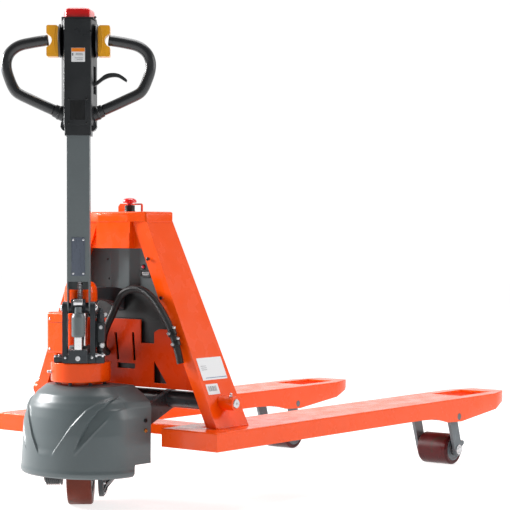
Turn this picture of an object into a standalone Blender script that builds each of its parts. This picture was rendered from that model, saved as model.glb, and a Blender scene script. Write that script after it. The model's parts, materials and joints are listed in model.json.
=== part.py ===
"""Semi-electric pallet truck: forks, chassis, powered drive unit, pump, tiller and lift linkage.

Metres, +Z up. +X runs towards the fork tips and the floor is z = 0. Every shape is written in the
truck's own frame, whose X = 0, Y = 0 is the steering axis; the root empty then moves the whole truck
so that the origin lies under the middle of its bounding box.
"""
import math

import bmesh
import bpy
from mathutils import Matrix, Vector

# Driving dimensions -----------------------------------------------------------------------------
STEERING_AXIS_X = -0.57662       # steering axis in the part's final frame
GAP = 0.0003                     # clearance between pieces that touch
STEER_ANGLE = math.radians(41)   # rest steering angle, from straight ahead

FORK_Y = 0.2625                  # fork centre line
FORK_HALF = 0.080                # half of the fork width
FORK_TOP = 0.177
FORK_BOTTOM = 0.136
HEEL_X = 0.066
TIP_TAPER_X = 1.222
TIP_X = 1.316
SHEET = 0.004                    # fork plate thickness

FRAME_SHEET = 0.005              # side frame plate thickness
FRAME_BASE_Y = 0.2949            # outer bend line of a side frame at the fork top
FRAME_LEAN = 0.4348              # inward lean of the side frames per metre of height
FRAME_RAKE = 0.0253              # forward rake of the front flanges per metre of height
FRAME_FRONT_X = 0.1219
FRAME_TOP = 0.632
CROWN_TOP = 0.655

ROCKER_X, ROCKER_Z = 0.168, 0.231     # lift rocker axis
CARRIER_PIN_X, CARRIER_PIN_Z = -0.0075, 0.157
ROD_Y = 0.245                    # push rod lane
ROD_Z = 0.160
BRACKET_X, BRACKET_Z = 1.039, 0.130   # load wheel bracket pivot
LOAD_AXLE_X, LOAD_AXLE_Z = 1.068, 0.040
LOAD_RADIUS = 0.040
HORN_X, HORN_Z = 1.059, 0.158    # push rod pin on the bracket

DRIVE_RADIUS = 0.100
DRIVE_HALF = 0.027               # half width of the drive wheel
RING_RADIUS, RING_LOW, RING_TOP = 0.0668, 0.2842, 0.3194
COLUMN_BORE = 0.0268

TILLER_N, TILLER_Z = 0.064, 0.4396    # tiller pivot: distance in front of the steering axis, height
TUBE_HALF_T = 0.026
TUBE_N0, TUBE_N1 = 0.042, 0.086
TUBE_TOP = 0.8445
PLUNGER_N = 0.089
HEAD_LOW, HEAD_TOP = 0.8475, 1.083
PADDLE_Z = 1.0376
HANDLE_FIT = Vector((0.957, 0.980, 0.980))   # size of the pump and tiller against their drawing
HANDLE_FIT_Z = 0.558                         # height that the fit leaves where it is
PUMP_FOOT_Z = 0.3149                         # drawn height that the fit brings just above the ring

ROUND = 18                       # sides of an ordinary round piece
FINE = 28                        # sides of a large round piece

X, Y, Z = Vector((1, 0, 0)), Vector((0, 1, 0)), Vector((0, 0, 1))


# Scene set-up -----------------------------------------------------------------------------------
def new_collection(name):
    collection = bpy.data.collections.new(name)
    bpy.context.scene.collection.children.link(collection)
    return collection


for old in list(bpy.data.objects):
    bpy.data.objects.remove(old)
TRUCK = new_collection("pallet_jack")
CUTTERS = new_collection("cutters")


class Frame:
    """An empty on a joint axis. Pieces under it are still written in their parent's frame.

    A fit resizes everything written under the frame, joint axes included.
    """

    def __init__(self, name, origin=(0, 0, 0), under=None, turn=0.0, fit=None):
        self.fit = fit or (under.fit if under is not None else Matrix.Identity(4))
        self.origin = self.fit @ Vector(origin)
        self.empty = bpy.data.objects.new(name, None)
        self.empty.empty_display_size = 0.05
        TRUCK.objects.link(self.empty)
        if under is not None:
            self.empty.parent = under.empty
            self.empty.matrix_parent_inverse = Matrix.Translation(-under.origin)
        self.empty.location = self.origin
        self.empty.rotation_euler = (0, 0, turn)
        if turn:
            self.origin = Vector((0, 0, 0))

    def hold(self, obj):
        obj.parent = self.empty
        obj.matrix_parent_inverse = Matrix.Translation(-self.origin)


class Finish:
    """One Principled material for each sub-part."""

    def __init__(self, colour, roughness, metallic=0.0):
        self.colour, self.roughness, self.metallic = colour, roughness, metallic

    def build(self, name):
        material = bpy.data.materials.new(name)
        material.use_nodes = True
        shader = material.node_tree.nodes["Principled BSDF"]
        shader.inputs["Base Color"].default_value = (*self.colour, 1.0)
        shader.inputs["Roughness"].default_value = self.roughness
        shader.inputs["Metallic"].default_value = self.metallic
        material.diffuse_color = (*self.colour, 1.0)
        return material


ORANGE = Finish((0.90, 0.10, 0.006), 0.35)
GREY_COVER = Finish((0.17, 0.21, 0.21), 0.45)
GREY_TUBE = Finish((0.12, 0.15, 0.165), 0.45)
CHARCOAL = Finish((0.030, 0.034, 0.038), 0.50)
BLACK = Finish((0.012, 0.012, 0.013), 0.55)
RED = Finish((0.75, 0.004, 0.004), 0.30)
YELLOW = Finish((0.90, 0.38, 0.012), 0.40)
STEEL = Finish((0.62, 0.62, 0.63), 0.22, 1.0)
DARK_METAL = Finish((0.040, 0.045, 0.050), 0.42, 0.3)
DRIVE_TREAD = Finish((0.20, 0.034, 0.014), 0.50)
LOAD_TREAD = Finish((0.12, 0.010, 0.014), 0.38)


# Shape tools ------------------------------------------------------------------------------------
def add_object(name, mesh, frame, matrix=None):
    obj = bpy.data.objects.new(name, mesh)
    TRUCK.objects.link(obj)
    frame.hold(obj)
    obj.matrix_basis = frame.fit @ matrix if matrix is not None else frame.fit
    return obj


def mesh_from(bm, name):
    mesh = bpy.data.meshes.new(name)
    bmesh.ops.recalc_face_normals(bm, faces=bm.faces)
    bm.to_mesh(mesh)
    bm.free()
    return mesh


def box(name, low, high, frame):
    bm = bmesh.new()
    low, high = Vector(low), Vector(high)
    size = high - low
    bmesh.ops.create_cube(bm, size=1.0, matrix=Matrix.Translation((low + high) / 2) @ Matrix.Diagonal((*size, 1)))
    return add_object(name, mesh_from(bm, name), frame)


def axis_matrix(start, direction):
    """Matrix that stands local +Z along the direction, with its origin at start."""
    turn = Z.rotation_difference(Vector(direction).normalized()).to_matrix().to_4x4()
    return Matrix.Translation(start) @ turn


def rod(name, start, end, radius, frame, end_radius=None, sides=ROUND):
    start, end = Vector(start), Vector(end)
    bm = bmesh.new()
    length = (end - start).length
    bmesh.ops.create_cone(bm, cap_ends=True, segments=sides, radius1=radius,
                          radius2=radius if end_radius is None else end_radius, depth=length,
                          matrix=axis_matrix((start + end) / 2, end - start))
    obj = add_object(name, mesh_from(bm, name), frame)
    smooth(obj)
    return obj


def smooth(obj, angle=35):
    obj.data.shade_smooth()
    obj.data.set_sharp_from_angle(angle=math.radians(angle))


def turned(name, profile, start, direction, frame, sides=FINE):
    """Turn a closed or axis-to-axis (radius, height) profile about the direction through start."""
    closed = profile[0][0] > 0
    count = len(profile)
    edges = [(i, i + 1) for i in range(count - 1)]
    if closed:
        edges.append((count - 1, 0))
    mesh = bpy.data.meshes.new(name)
    mesh.from_pydata([(r, 0, h) for r, h in profile], edges, [])
    obj = add_object(name, mesh, frame, axis_matrix(start, direction))
    screw = obj.modifiers.new("turn", "SCREW")
    screw.steps = screw.render_steps = sides
    screw.use_merge_vertices = True
    screw.merge_threshold = 0.00001
    screw.use_smooth_shade = True
    return obj


def plate(name, outline, thickness, origin, u, v, frame, holes=()):
    """A flat outline in the plane (u, v) through origin, thickened along u x v."""
    curve = bpy.data.curves.new(name, "CURVE")
    curve.dimensions = "2D"
    curve.fill_mode = "BOTH"
    curve.extrude = thickness / 2
    for loop in (outline, *holes):
        spline = curve.splines.new("POLY")
        spline.points.add(len(loop) - 1)
        for point, (a, b) in zip(spline.points, loop):
            point.co = (a, b, 0, 1)
        spline.use_cyclic_u = True
    u, v = Vector(u).normalized(), Vector(v).normalized()
    w = u.cross(v)
    matrix = Matrix((u, v, w)).transposed().to_4x4()
    matrix.translation = Vector(origin) + w * thickness / 2
    return mesh_of_curve(name, curve, frame, matrix)


def mesh_of_curve(name, curve, frame, matrix=None):
    """Turn a curve into a welded mesh object."""
    source = bpy.data.objects.new(name + "_curve", curve)
    bpy.context.scene.collection.objects.link(source)
    evaluated = source.evaluated_get(bpy.context.evaluated_depsgraph_get())
    mesh = bpy.data.meshes.new_from_object(evaluated)
    bpy.data.objects.remove(source)
    bm = bmesh.new()
    bm.from_mesh(mesh)
    bmesh.ops.remove_doubles(bm, verts=bm.verts, dist=0.00002)
    bmesh.ops.recalc_face_normals(bm, faces=bm.faces)
    bm.to_mesh(mesh)
    bm.free()
    return add_object(name, mesh, frame, matrix)


def tube(name, points, radius, frame, sides_level=3):
    """A round bar along a poly path."""
    curve = bpy.data.curves.new(name, "CURVE")
    curve.dimensions = "3D"
    curve.bevel_depth = radius
    curve.bevel_resolution = sides_level
    curve.use_fill_caps = True
    spline = curve.splines.new("POLY")
    spline.points.add(len(points) - 1)
    for point, co in zip(spline.points, points):
        point.co = (*co, 1)
    obj = mesh_of_curve(name, curve, frame)
    smooth(obj, 50)
    return obj


def combine(obj, tool, operation):
    step = obj.modifiers.new(tool.name, "BOOLEAN")
    step.operation = operation
    step.solver = "EXACT"
    step.object = tool
    tool.hide_render = True
    tool.display_type = "WIRE"
    if tool.name not in CUTTERS.objects:
        CUTTERS.objects.link(tool)
        TRUCK.objects.unlink(tool)
    return obj


def cut(obj, *tools):
    for tool in tools:
        combine(obj, tool, "DIFFERENCE")
    return obj


def join(obj, *tools):
    for tool in tools:
        combine(obj, tool, "UNION")
    return obj


def keep_inside(obj, tool):
    return combine(obj, tool, "INTERSECT")


def bevel(obj, width, segments=2, angle=40):
    step = obj.modifiers.new("bevel", "BEVEL")
    step.width = width
    step.segments = segments
    step.limit_method = "ANGLE"
    step.angle_limit = math.radians(angle)
    step.harden_normals = False
    return obj


def arc(cx, cy, radius, start, end, count):
    """Points on an arc, angles in degrees."""
    angles = [math.radians(start + (end - start) * i / (count - 1)) for i in range(count)]
    return [(cx + radius * math.cos(a), cy + radius * math.sin(a)) for a in angles]


def circle(cx, cy, radius, count=20):
    return arc(cx, cy, radius, 0, 360 - 360 / count, count)


def link_outline(a, b, radius_a, radius_b, count=9):
    """Outline of a flat link with round ends of two radii, by its two outer tangents."""
    heading = math.degrees(math.atan2(b[1] - a[1], b[0] - a[0]))
    spread = math.degrees(math.acos((radius_a - radius_b) / math.dist(a, b)))
    end_b = arc(*b, radius_b, heading - spread, heading + spread, count)
    end_a = arc(*a, radius_a, heading + spread, heading + 360 - spread, count)
    return end_b + end_a


def spline_points(control, per_span):
    """Points of a smooth Catmull-Rom curve through the control points."""
    points = [Vector(p) for p in control]
    points = [2 * points[0] - points[1], *points, 2 * points[-1] - points[-2]]
    out = []
    for p0, p1, p2, p3 in zip(points, points[1:], points[2:], points[3:]):
        for step in range(per_span):
            t = step / per_span
            out.append(0.5 * (2 * p1 + (p2 - p0) * t + (2 * p0 - 5 * p1 + 4 * p2 - p3) * t ** 2
                              + (3 * p1 - p0 - 3 * p2 + p3) * t ** 3))
    return [*out, points[-2]]


def finish(obj, look):
    obj.data.materials.clear()
    obj.data.materials.append(look.build(obj.name))
    return obj


# Chassis ----------------------------------------------------------------------------------------
def fork(side, name, frame):
    """Inverted steel channel with a rounded tip, a roller opening and a lever slot."""
    y0, y1 = side * FORK_Y - FORK_HALF, side * FORK_Y + FORK_HALF
    profile = [(HEEL_X, FORK_BOTTOM), (0.86, 0.135), (0.93, 0.132), (0.985, 0.1195), (1.05, 0.1165),
               (TIP_TAPER_X, 0.135), (1.300, 0.1495), (TIP_X, 0.158), (TIP_X, 0.1715), (1.3105, FORK_TOP),
               (HEEL_X, FORK_TOP)]
    body = plate(name, profile, y1 - y0, (0, y1, 0), X, Z, frame)

    def plan(inset):
        half, tip = FORK_HALF - inset, TIP_X - inset
        nose = [(TIP_TAPER_X, -half), (tip - 0.022, -0.056 + inset), (tip - 0.005, -0.047), (tip, -0.036)]
        return ([(HEEL_X - 0.02 + 2.0 * inset, -half), *nose, *[(a, -b) for a, b in reversed(nose)],
                 (HEEL_X - 0.02 + 2.0 * inset, half)])

    keep_inside(body, plate(name + "_plan", plan(0.0), 0.2, (0, side * FORK_Y, 0.05), X, Y, frame))
    hollow = plate(name + "_hollow", [(a + (0.016 if a < 0.1 else 0), b) for a, b in plan(SHEET)], 0.1,
                   (0, side * FORK_Y, FORK_TOP - SHEET - 0.1), X, Y, frame)
    window = box(name + "_window", (1.100, side * FORK_Y - 0.046, 0.15),
                 (1.250, side * FORK_Y + 0.046, 0.20), frame)
    slot = box(name + "_slot", (0.135, side * ROD_Y - 0.009, 0.15), (0.205, side * ROD_Y + 0.009, 0.20), frame)
    pin_hole = rod(name + "_pin_hole", (BRACKET_X, y0 - 0.02, BRACKET_Z), (BRACKET_X, y1 + 0.02, BRACKET_Z),
                   0.0085 + GAP, frame)
    cut(body, hollow, window, slot, pin_hole)
    return finish(body, ORANGE)


def frame_outer(z):
    """Outer |y| of a side frame at height z."""
    return FRAME_BASE_Y - FRAME_LEAN * (z - FORK_TOP)


def side_frame(side, name, frame):
    """Leaning channel: a side plate, a front flange and the rocker boss."""
    base = FORK_TOP + GAP
    lean = Vector((0, -side * FRAME_LEAN, 1))
    slope = lean.length
    rise = (FRAME_TOP - base) * slope
    start = (0, side * frame_outer(base), base)
    outline = [(FRAME_FRONT_X, 0), (0.232, 0), (0.200, rise), (FRAME_FRONT_X - FRAME_RAKE * 0.455, rise)]
    if side > 0:
        body = plate(name, outline, FRAME_SHEET, start, X, lean, frame)
    else:
        body = plate(name, outline, FRAME_SHEET, Vector(start) + lean.cross(X).normalized() * 0, X, lean, frame)
        body.matrix_basis = Matrix.Translation(lean.cross(X).normalized() * FRAME_SHEET) @ body.matrix_basis

    def flange_point(z, inset):
        return (side * (frame_outer(z) - inset), (z - base) * math.hypot(1, FRAME_RAKE))

    levels = [(base, 0.0005), (FRAME_TOP, 0.0005), (FRAME_TOP, 0.042), (0.345, 0.042), (0.325, 0.034),
              (base, 0.030)]
    flange = plate(name + "_flange", [flange_point(z, inset) for z, inset in levels], FRAME_SHEET,
                   (FRAME_FRONT_X, 0, base), Y, (-FRAME_RAKE, 0, 1), frame,
                   holes=[circle(*flange_point(z, 0.030), 0.0035, 12) for z in (0.461, 0.548)])
    outer = side * 0.312
    boss = rod(name + "_boss", (ROCKER_X, side * 0.2685, ROCKER_Z), (ROCKER_X, outer, ROCKER_Z), 0.016, frame)
    pin_hole = rod(name + "_hole", (ROCKER_X, side * 0.22, ROCKER_Z), (ROCKER_X, side * 0.35, ROCKER_Z),
                   0.0105 + GAP, frame)
    foot_trim = box(name + "_foot", (0.10, min(0, side * 0.35), 0.15), (0.25, max(0, side * 0.35), base), frame)
    join(body, flange, boss)
    cut(body, pin_hole, foot_trim)
    return finish(body, ORANGE)


def crown(frame):
    """Bent head plate with a stepped front skirt and the strap that guards the stop button."""
    half = frame_outer(FRAME_TOP) + 0.0005
    z0 = FRAME_TOP + GAP
    plan = [(0.200, -half), (0.200, half), (0.1104, half), (0.102, 0.045), (0.102, -0.045), (0.1104, -half)]
    cap = plate("crown", plan, CROWN_TOP - z0, (0, 0, z0), X, Y, frame)
    bevel(cap, 0.007, 3, 60)
    skirt_half = frame_outer(FRAME_TOP) - 0.006
    upper = plate("crown_upper", [(-0.052, 0.610), (0.052, 0.610), (0.052, 0.640), (-0.052, 0.640)], 0.006,
                  (0.1055, 0, 0), Y, Z, frame)
    lower = plate("crown_lower", [(-0.088, 0.5715), (0.088, 0.5715), (skirt_half, 0.6316), (0.052, 0.6316),
                                  (0.052, 0.640), (-0.052, 0.640), (-0.052, 0.6316), (-skirt_half, 0.6316)],
                  0.004, (0.1175, 0, 0), Y, Z, frame)
    brow = plate("crown_brow", [(-0.0525, 0.571), (0.030, 0.571), (0.044, 0.586), (0.050, 0.607),
                                (-0.0525, 0.607)], 0.0035, (0.1145, 0, 0), Y, Z, frame)
    web = box("crown_web", (0.106, -0.052, 0.612), (0.1195, 0.052, 0.640), frame)
    stem_hole = rod("crown_stem_hole", (0.16, 0, 0.62), (0.16, 0, 0.70), 0.0075, frame)
    foot = CROWN_TOP - 0.003
    strap = plate("crown_strap", [(-0.0225, foot), (-0.0195, foot), (-0.0195, 0.671), (0.022, 0.671),
                                  (0.022, foot), (0.052, foot), (0.052, 0.668), (0.046, 0.6745),
                                  (-0.0195, 0.6745), (-0.0225, 0.6715)], 0.004, (0.1765, 0, 0), Y, Z, frame)
    join(cap, upper, lower, brow, web, strap)
    cut(cap, stem_hole)
    return finish(cap, ORANGE)


def back_plate(frame):
    """Rear wall between the side frames."""
    rake = Vector((-0.0703, 0, 1))
    slope = rake.length
    base = FORK_TOP + GAP

    def half(z):
        return frame_outer(z) - 0.0068

    z_top = 0.630
    outline = [(-half(0.30), (0.30 - base) * slope), (half(0.30), (0.30 - base) * slope),
               (half(z_top), (z_top - base) * slope), (-half(z_top), (z_top - base) * slope)]
    obj = plate("back_plate", outline, 0.003, (0.2245, 0, base), Y, rake, frame)
    return finish(obj, ORANGE)


def trapezoid(name, z_low, z_high, x_low, x_high, margin, frame):
    """Block that fills the space between the side frames over a height range."""
    corners = [(-(frame_outer(z_low) - margin), z_low), (frame_outer(z_low) - margin, z_low),
               (frame_outer(z_high) - margin, z_high), (-(frame_outer(z_high) - margin), z_high)]
    return plate(name, corners, x_high - x_low, (x_low, 0, 0), Y, Z, frame)


def battery_cover(frame):
    """Folded grey cover in front of the battery."""
    front = [(0.166, -0.20), (0.166, -0.026), (0.152, -0.006), (0.152, 0.028), (0.160, 0.060), (0.160, 0.20)]
    back = [(x + 0.0025, y) for x, y in reversed(front)]
    obj = plate("battery_cover", front + back, 0.171, (0, 0, 0.400), X, Y, frame)
    keep_inside(obj, trapezoid("battery_cover_trim", 0.395, 0.5709, 0.14, 0.18, 0.0070, frame))
    return finish(obj, GREY_COVER)


def front_panel(frame):
    """Lower front panel with a step in its top edge and cooling slots."""
    left, right = frame_outer(0.257) - 0.0072, frame_outer(0.39) - 0.0072
    outline = [(left, 0.257), (frame_outer(0.41) - 0.0072, 0.410), (-0.064, 0.410), (-0.064, 0.357),
               (-0.105, 0.357), (-0.105, 0.383), (-0.120, 0.390), (-right, 0.390), (-left, 0.257)]
    slots = [[(0.003, 0.316), (0.010, 0.316), (0.018, 0.378), (0.011, 0.378)],
             [(-0.048, 0.316), (-0.041, 0.316), (-0.036, 0.380), (-0.043, 0.380)],
             [(-0.046, 0.297), (0.009, 0.297), (0.009, 0.309), (-0.046, 0.309)],
             [(-0.143, 0.268), (-0.104, 0.268), (-0.104, 0.318)],
             *[[(y, 0.300), (y + 0.007, 0.300), (y + 0.007, 0.370), (y, 0.370)] for y in (0.070, 0.090, 0.110)]]
    obj = plate("front_panel", outline, 0.003, (0.1275, 0, 0), Y, Z, frame, holes=slots)
    return finish(obj, ORANGE)


def pump_guard(frame):
    """Black arched moulding above the front panel."""
    arch = [(0.105, 0.4104), *[(0.105 * math.cos(a) * (1.0 if math.cos(a) > 0 else 1.17) - 0.012,
                               0.400 + 0.080 * math.sin(a) ** 0.85)
                              for a in [math.radians(d) for d in range(24, 166, 12)]], (-0.128, 0.4104)]
    obj = plate("pump_guard", arch, 0.007, (0.134, 0, 0), Y, Z, frame)
    return finish(obj, BLACK)


def charger_box(frame):
    """Round-cornered box in front of the left flange."""
    obj = box("charger_box", (0.070, 0.100, 0.326), (0.1154, 0.183, 0.422), frame)
    bevel(obj, 0.009, 3)
    return finish(obj, ORANGE)


def estop(frame, press):
    """Emergency stop: collar and mushroom button."""
    stem_z = CROWN_TOP + GAP
    collar = turned("estop_collar", [(0.0125, 0.0150), (0.0125, 0), (0.0078, 0), (0.0078, 0.0150)],
                    (0.16, 0, stem_z), Z, frame, ROUND)
    finish(collar, BLACK)
    profile = [(0, 0.0320), (0.008, 0.0314), (0.0130, 0.0290), (0.0160, 0.0248), (0.0160, 0.0222),
               (0.0148, 0.0206), (0.0068, 0.0206), (0.0068, -0.010), (0, -0.010)]
    finish(turned("estop_button", profile, (0.16, 0, stem_z), Z, press, ROUND), RED)


def lift_crown(frame):
    """Cup on the ram, the arched arm to the bulkhead and the ram itself."""
    profile = [(0, 0.5025), (0.016, 0.5015), (0.028, 0.4960), (0.0345, 0.4870), (0.037, 0.4750),
               (0.037, 0.4550), (0.0335, 0.4520), (0, 0.4520)]
    cup = turned("lift_cup", profile, (0, 0, 0), Z, frame, 32)
    cut(cup, box("lift_cup_slot", (0.020, -0.0103, 0.4555), (0.060, 0.0203, 0.5100), frame))
    finish(cup, ORANGE)
    arm = plate("lift_arm", [(0.0206, 0.4560), (0.060, 0.4560), (0.100, 0.448), (0.1335, 0.428),
                             (0.1335, 0.478), (0.100, 0.4835), (0.050, 0.4835), (0.0206, 0.480)], 0.030,
                (0, 0.020, 0), X, Z, frame)
    bevel(arm, 0.004, 2)
    finish(arm, DARK_METAL)
    finish(rod("lift_ram", (0, 0, 0.306), (0, 0, 0.4517), 0.016, frame), STEEL)


def harness(frame):
    """Black conduit from the bulkhead up and over to the right flange."""
    control = [(0.1218, 0.035, 0.330), (0.104, 0.031, 0.345), (0.092, 0.016, 0.377), (0.0905, -0.010, 0.420),
               (0.0905, -0.040, 0.466), (0.0905, -0.0775, 0.481), (0.0925, -0.112, 0.474),
               (0.096, -0.141, 0.450), (0.100, -0.168, 0.412), (0.1035, -0.187, 0.372), (0.105, -0.196, 0.345),
               (0.106, -0.203, 0.318)]
    finish(tube("harness", spline_points(control, 2), 0.0085, frame, 2), BLACK)


# Lift linkage -----------------------------------------------------------------------------------
def rocker(frame):
    """Torsion tube with two carrier arms and two push rod levers."""
    half = 0.2500
    body = rod("rocker", (ROCKER_X, -half, ROCKER_Z), (ROCKER_X, half, ROCKER_Z), 0.0195, frame)
    eye = (ROCKER_X - 0.1835 * 0.9214, ROCKER_Z - 0.1835 * 0.3886)
    lever = (ROCKER_X + 0.0188, ROCKER_Z - 0.0705)
    for side in (-1, 1):
        tag = "left" if side > 0 else "right"
        arm = plate("arm_" + tag, link_outline(eye, (ROCKER_X, ROCKER_Z), 0.0225, 0.0215), 0.012,
                    (0, side * 0.116 + 0.006, 0), X, Z, frame, holes=[circle(*eye, 0.018, 24)])
        foot = plate("lever_" + tag, link_outline((ROCKER_X, ROCKER_Z), lever, 0.0190, 0.0105), 0.010,
                     (0, side * ROD_Y + 0.005, 0), X, Z, frame)
        peg = rod("peg_" + tag, (lever[0], side * (ROD_Y + 0.0045), lever[1]),
                  (lever[0], side * (ROD_Y - 0.016), lever[1]), 0.0050, frame, sides=16)
        bore = rod("rocker_bore_" + tag, (ROCKER_X, side * 0.20, ROCKER_Z), (ROCKER_X, side * 0.26, ROCKER_Z),
                   0.0105 + GAP, frame)
        join(body, arm, foot, peg)
        cut(body, bore)
    return finish(body, DARK_METAL)


def push_rod(side, name, frame):
    """Round rod with a slotted eye at each end."""
    y = side * (ROD_Y - 0.0115)
    rear, front = ROCKER_X + 0.0188, HORN_X
    body = rod(name, (rear + 0.012, y, ROD_Z), (front - 0.012, y, ROD_Z), 0.0065, frame, sides=16)

    def eye(tag, cx, low, high, slot_low, slot_high):
        outline = [(cx - 0.013, low), (cx + 0.013, low), (cx + 0.013, high), (cx - 0.013, high)]
        slot = [(cx - 0.0085, slot_low), (cx + 0.0085, slot_low), (cx + 0.0085, slot_high),
                (cx - 0.0085, slot_high)]
        return plate(name + tag, outline, 0.007, (0, y + 0.0035, 0), X, Z, frame, holes=[slot])

    join(body, eye("_rear_eye", rear, 0.1480, 0.1722, 0.1530, 0.1692),
         eye("_front_eye", front, 0.1475, 0.1725, 0.1515, 0.1697))
    return finish(body, DARK_METAL)


def load_bracket(side, name, frame):
    """Two arms on a pivot sleeve, with the horn that the push rod works."""
    yc = side * FORK_Y
    pivot, axle, horn = (BRACKET_X, BRACKET_Z), (LOAD_AXLE_X, LOAD_AXLE_Z), (HORN_X, HORN_Z)
    body = rod(name, (BRACKET_X, yc - 0.058, BRACKET_Z), (BRACKET_X, yc + 0.058, BRACKET_Z), 0.0145, frame)
    for index, middle in enumerate((yc - 0.056, yc + 0.056)):
        arm = plate(f"{name}_arm_{index}", link_outline(pivot, axle, 0.0175, 0.0165), 0.008,
                    (0, middle + 0.004, 0), X, Z, frame)
        toe = plate(f"{name}_toe_{index}", link_outline((1.070, 0.050), (1.088, 0.056), 0.009, 0.0065), 0.007,
                    (0, middle + 0.0035, 0), X, Z, frame)
        ear = plate(f"{name}_ear_{index}", link_outline(pivot, horn, 0.0155, 0.0074), 0.006,
                    (0, middle + 0.003, 0), X, Z, frame)
        join(body, arm, toe, ear)
    join(body, rod(name + "_horn_pin", (HORN_X, yc - 0.055, HORN_Z), (HORN_X, yc + 0.055, HORN_Z), 0.0040,
                   frame, sides=12))
    cut(body, rod(name + "_pivot_bore", (BRACKET_X, yc - 0.08, BRACKET_Z), (BRACKET_X, yc + 0.08, BRACKET_Z),
                  0.0085 + GAP, frame),
        rod(name + "_axle_bore", (LOAD_AXLE_X, yc - 0.08, LOAD_AXLE_Z), (LOAD_AXLE_X, yc + 0.08, LOAD_AXLE_Z),
            0.008 + GAP, frame))
    return finish(body, DARK_METAL)


def load_roller(side, name, frame):
    half = 0.0450
    profile = [(LOAD_RADIUS - 0.003, half), (LOAD_RADIUS, half - 0.004), (LOAD_RADIUS, -half + 0.004),
               (LOAD_RADIUS - 0.003, -half), (0.008 + GAP, -half), (0.008 + GAP, half)]
    obj = turned(name, profile, (LOAD_AXLE_X, side * FORK_Y, LOAD_AXLE_Z), Y, frame, FINE)
    return finish(obj, LOAD_TREAD)


# Carrier, fixed in heading ----------------------------------------------------------------------
def bearing_ring(frame):
    profile = [(RING_RADIUS - 0.002, RING_TOP), (RING_RADIUS, RING_TOP - 0.002), (RING_RADIUS, RING_LOW + 0.004),
               (RING_RADIUS - 0.004, RING_LOW), (0.045, RING_LOW), (0.045, 0.2223), (COLUMN_BORE, 0.2223),
               (COLUMN_BORE, RING_TOP)]
    return finish(turned("bearing_ring", profile, (0, 0, 0), Z, frame, FINE), ORANGE)


def carrier_yoke(frame):
    """Top plate and two cheeks with the pins that the rocker arms push on."""
    plan = [(-0.045, -0.075), (-0.022, -0.130), (0.045, -0.130), (0.045, 0.130), (-0.022, 0.130), (-0.045, 0.075)]
    body = plate("carrier_yoke", plan, 0.010, (0, 0, 0.212), X, Y, frame)
    for side in (-1, 1):
        tag = "left" if side > 0 else "right"
        low, high = sorted((side * 0.124, side * 0.130))
        cheek = plate("cheek_" + tag, [(-0.021, 0.2215), (-0.021, 0.1420), (0.007, 0.1420), (0.044, 0.2215)],
                      0.0058, (0, high - 0.0001, 0), X, Z, frame)
        pin = rod("carrier_pin_" + tag, (CARRIER_PIN_X, side * 0.126, CARRIER_PIN_Z),
                  (CARRIER_PIN_X, side * 0.1085, CARRIER_PIN_Z), 0.008, frame)
        join(body, cheek, pin)
    cut(body, rod("yoke_bore", (0, 0, 0.20), (0, 0, 0.24), COLUMN_BORE, frame, sides=FINE))
    return finish(body, DARK_METAL)


def drive_cover(frame):
    """Moulded cover over the drive unit: a stack of half-oval sections, open behind and below."""
    rear_x, wall, count = 0.065, 0.003, 15
    levels = [(0.0720, 0.1100, 0.1455, 0.1470), (0.0745, 0.1155, 0.1500, 0.1515), (0.0820, 0.1175, 0.1520, 0.1530),
              (0.0900, 0.1160, 0.1500, 0.1520), (0.1150, 0.1138, 0.1486, 0.1515), (0.1650, 0.1100, 0.1470, 0.1520),
              (0.2000, 0.1052, 0.1430, 0.1530), (0.2220, 0.1005, 0.1370, 0.1540), (0.2350, 0.0960, 0.1290, 0.1480),
              (0.2500, 0.0850, 0.1130, 0.1290), (0.2620, 0.0700, 0.0980, 0.1080), (0.2680, 0.0600, 0.0900, 0.1000)]

    def section(a, b, rear):
        points = [(rear_x, -rear), (rear_x * 0.45, -(b + (rear - b) * 0.45))]
        for step in range(count):
            angle = math.radians(-90 + 180 * step / (count - 1))
            points.append((-a * math.cos(angle), b * math.sin(angle)))
        return [*points, (rear_x * 0.45, b + (rear - b) * 0.45), (rear_x, rear)]

    bm = bmesh.new()
    rings = [[bm.verts.new((x, y, z)) for x, y in section(a, b, rear)] for z, a, b, rear in levels]
    for low, high in zip(rings, rings[1:]):
        for index in range(len(low) - 1):
            bm.faces.new((low[index], low[index + 1], high[index + 1], high[index]))
    hole = [bm.verts.new((-0.050 * math.cos(a), 0.050 * math.sin(a), 0.2705)) for a in
            [math.radians(-170 + 340 * i / (len(rings[-1]) - 1)) for i in range(len(rings[-1]))]]
    for index in range(len(hole) - 1):
        bm.faces.new((rings[-1][index], rings[-1][index + 1], hole[index + 1], hole[index]))
    bm.faces.new((rings[-1][-1], rings[-1][0], hole[0], hole[-1]))
    body = add_object("drive_cover", mesh_from(bm, "drive_cover"), frame)
    solid = body.modifiers.new("wall", "SOLIDIFY")
    solid.thickness = wall
    solid.offset = -1.0
    cut(body, box("cover_step", (0.012, -0.2, 0.03), (0.10, 0.2, 0.098), frame))
    smooth(body, 28)
    return finish(body, GREY_COVER)


# Drive unit, steered. Here x is the operator's right and -y faces the operator --------------------
def drive_wheel(frame):
    profile = [(DRIVE_RADIUS - 0.003, DRIVE_HALF), (DRIVE_RADIUS, DRIVE_HALF - 0.003),
               (DRIVE_RADIUS, -DRIVE_HALF + 0.003), (DRIVE_RADIUS - 0.003, -DRIVE_HALF),
               (0.0153, -DRIVE_HALF), (0.0153, DRIVE_HALF)]
    return finish(turned("drive_wheel", profile, (0, 0, DRIVE_RADIUS), X, frame, 40), DRIVE_TREAD)


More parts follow.
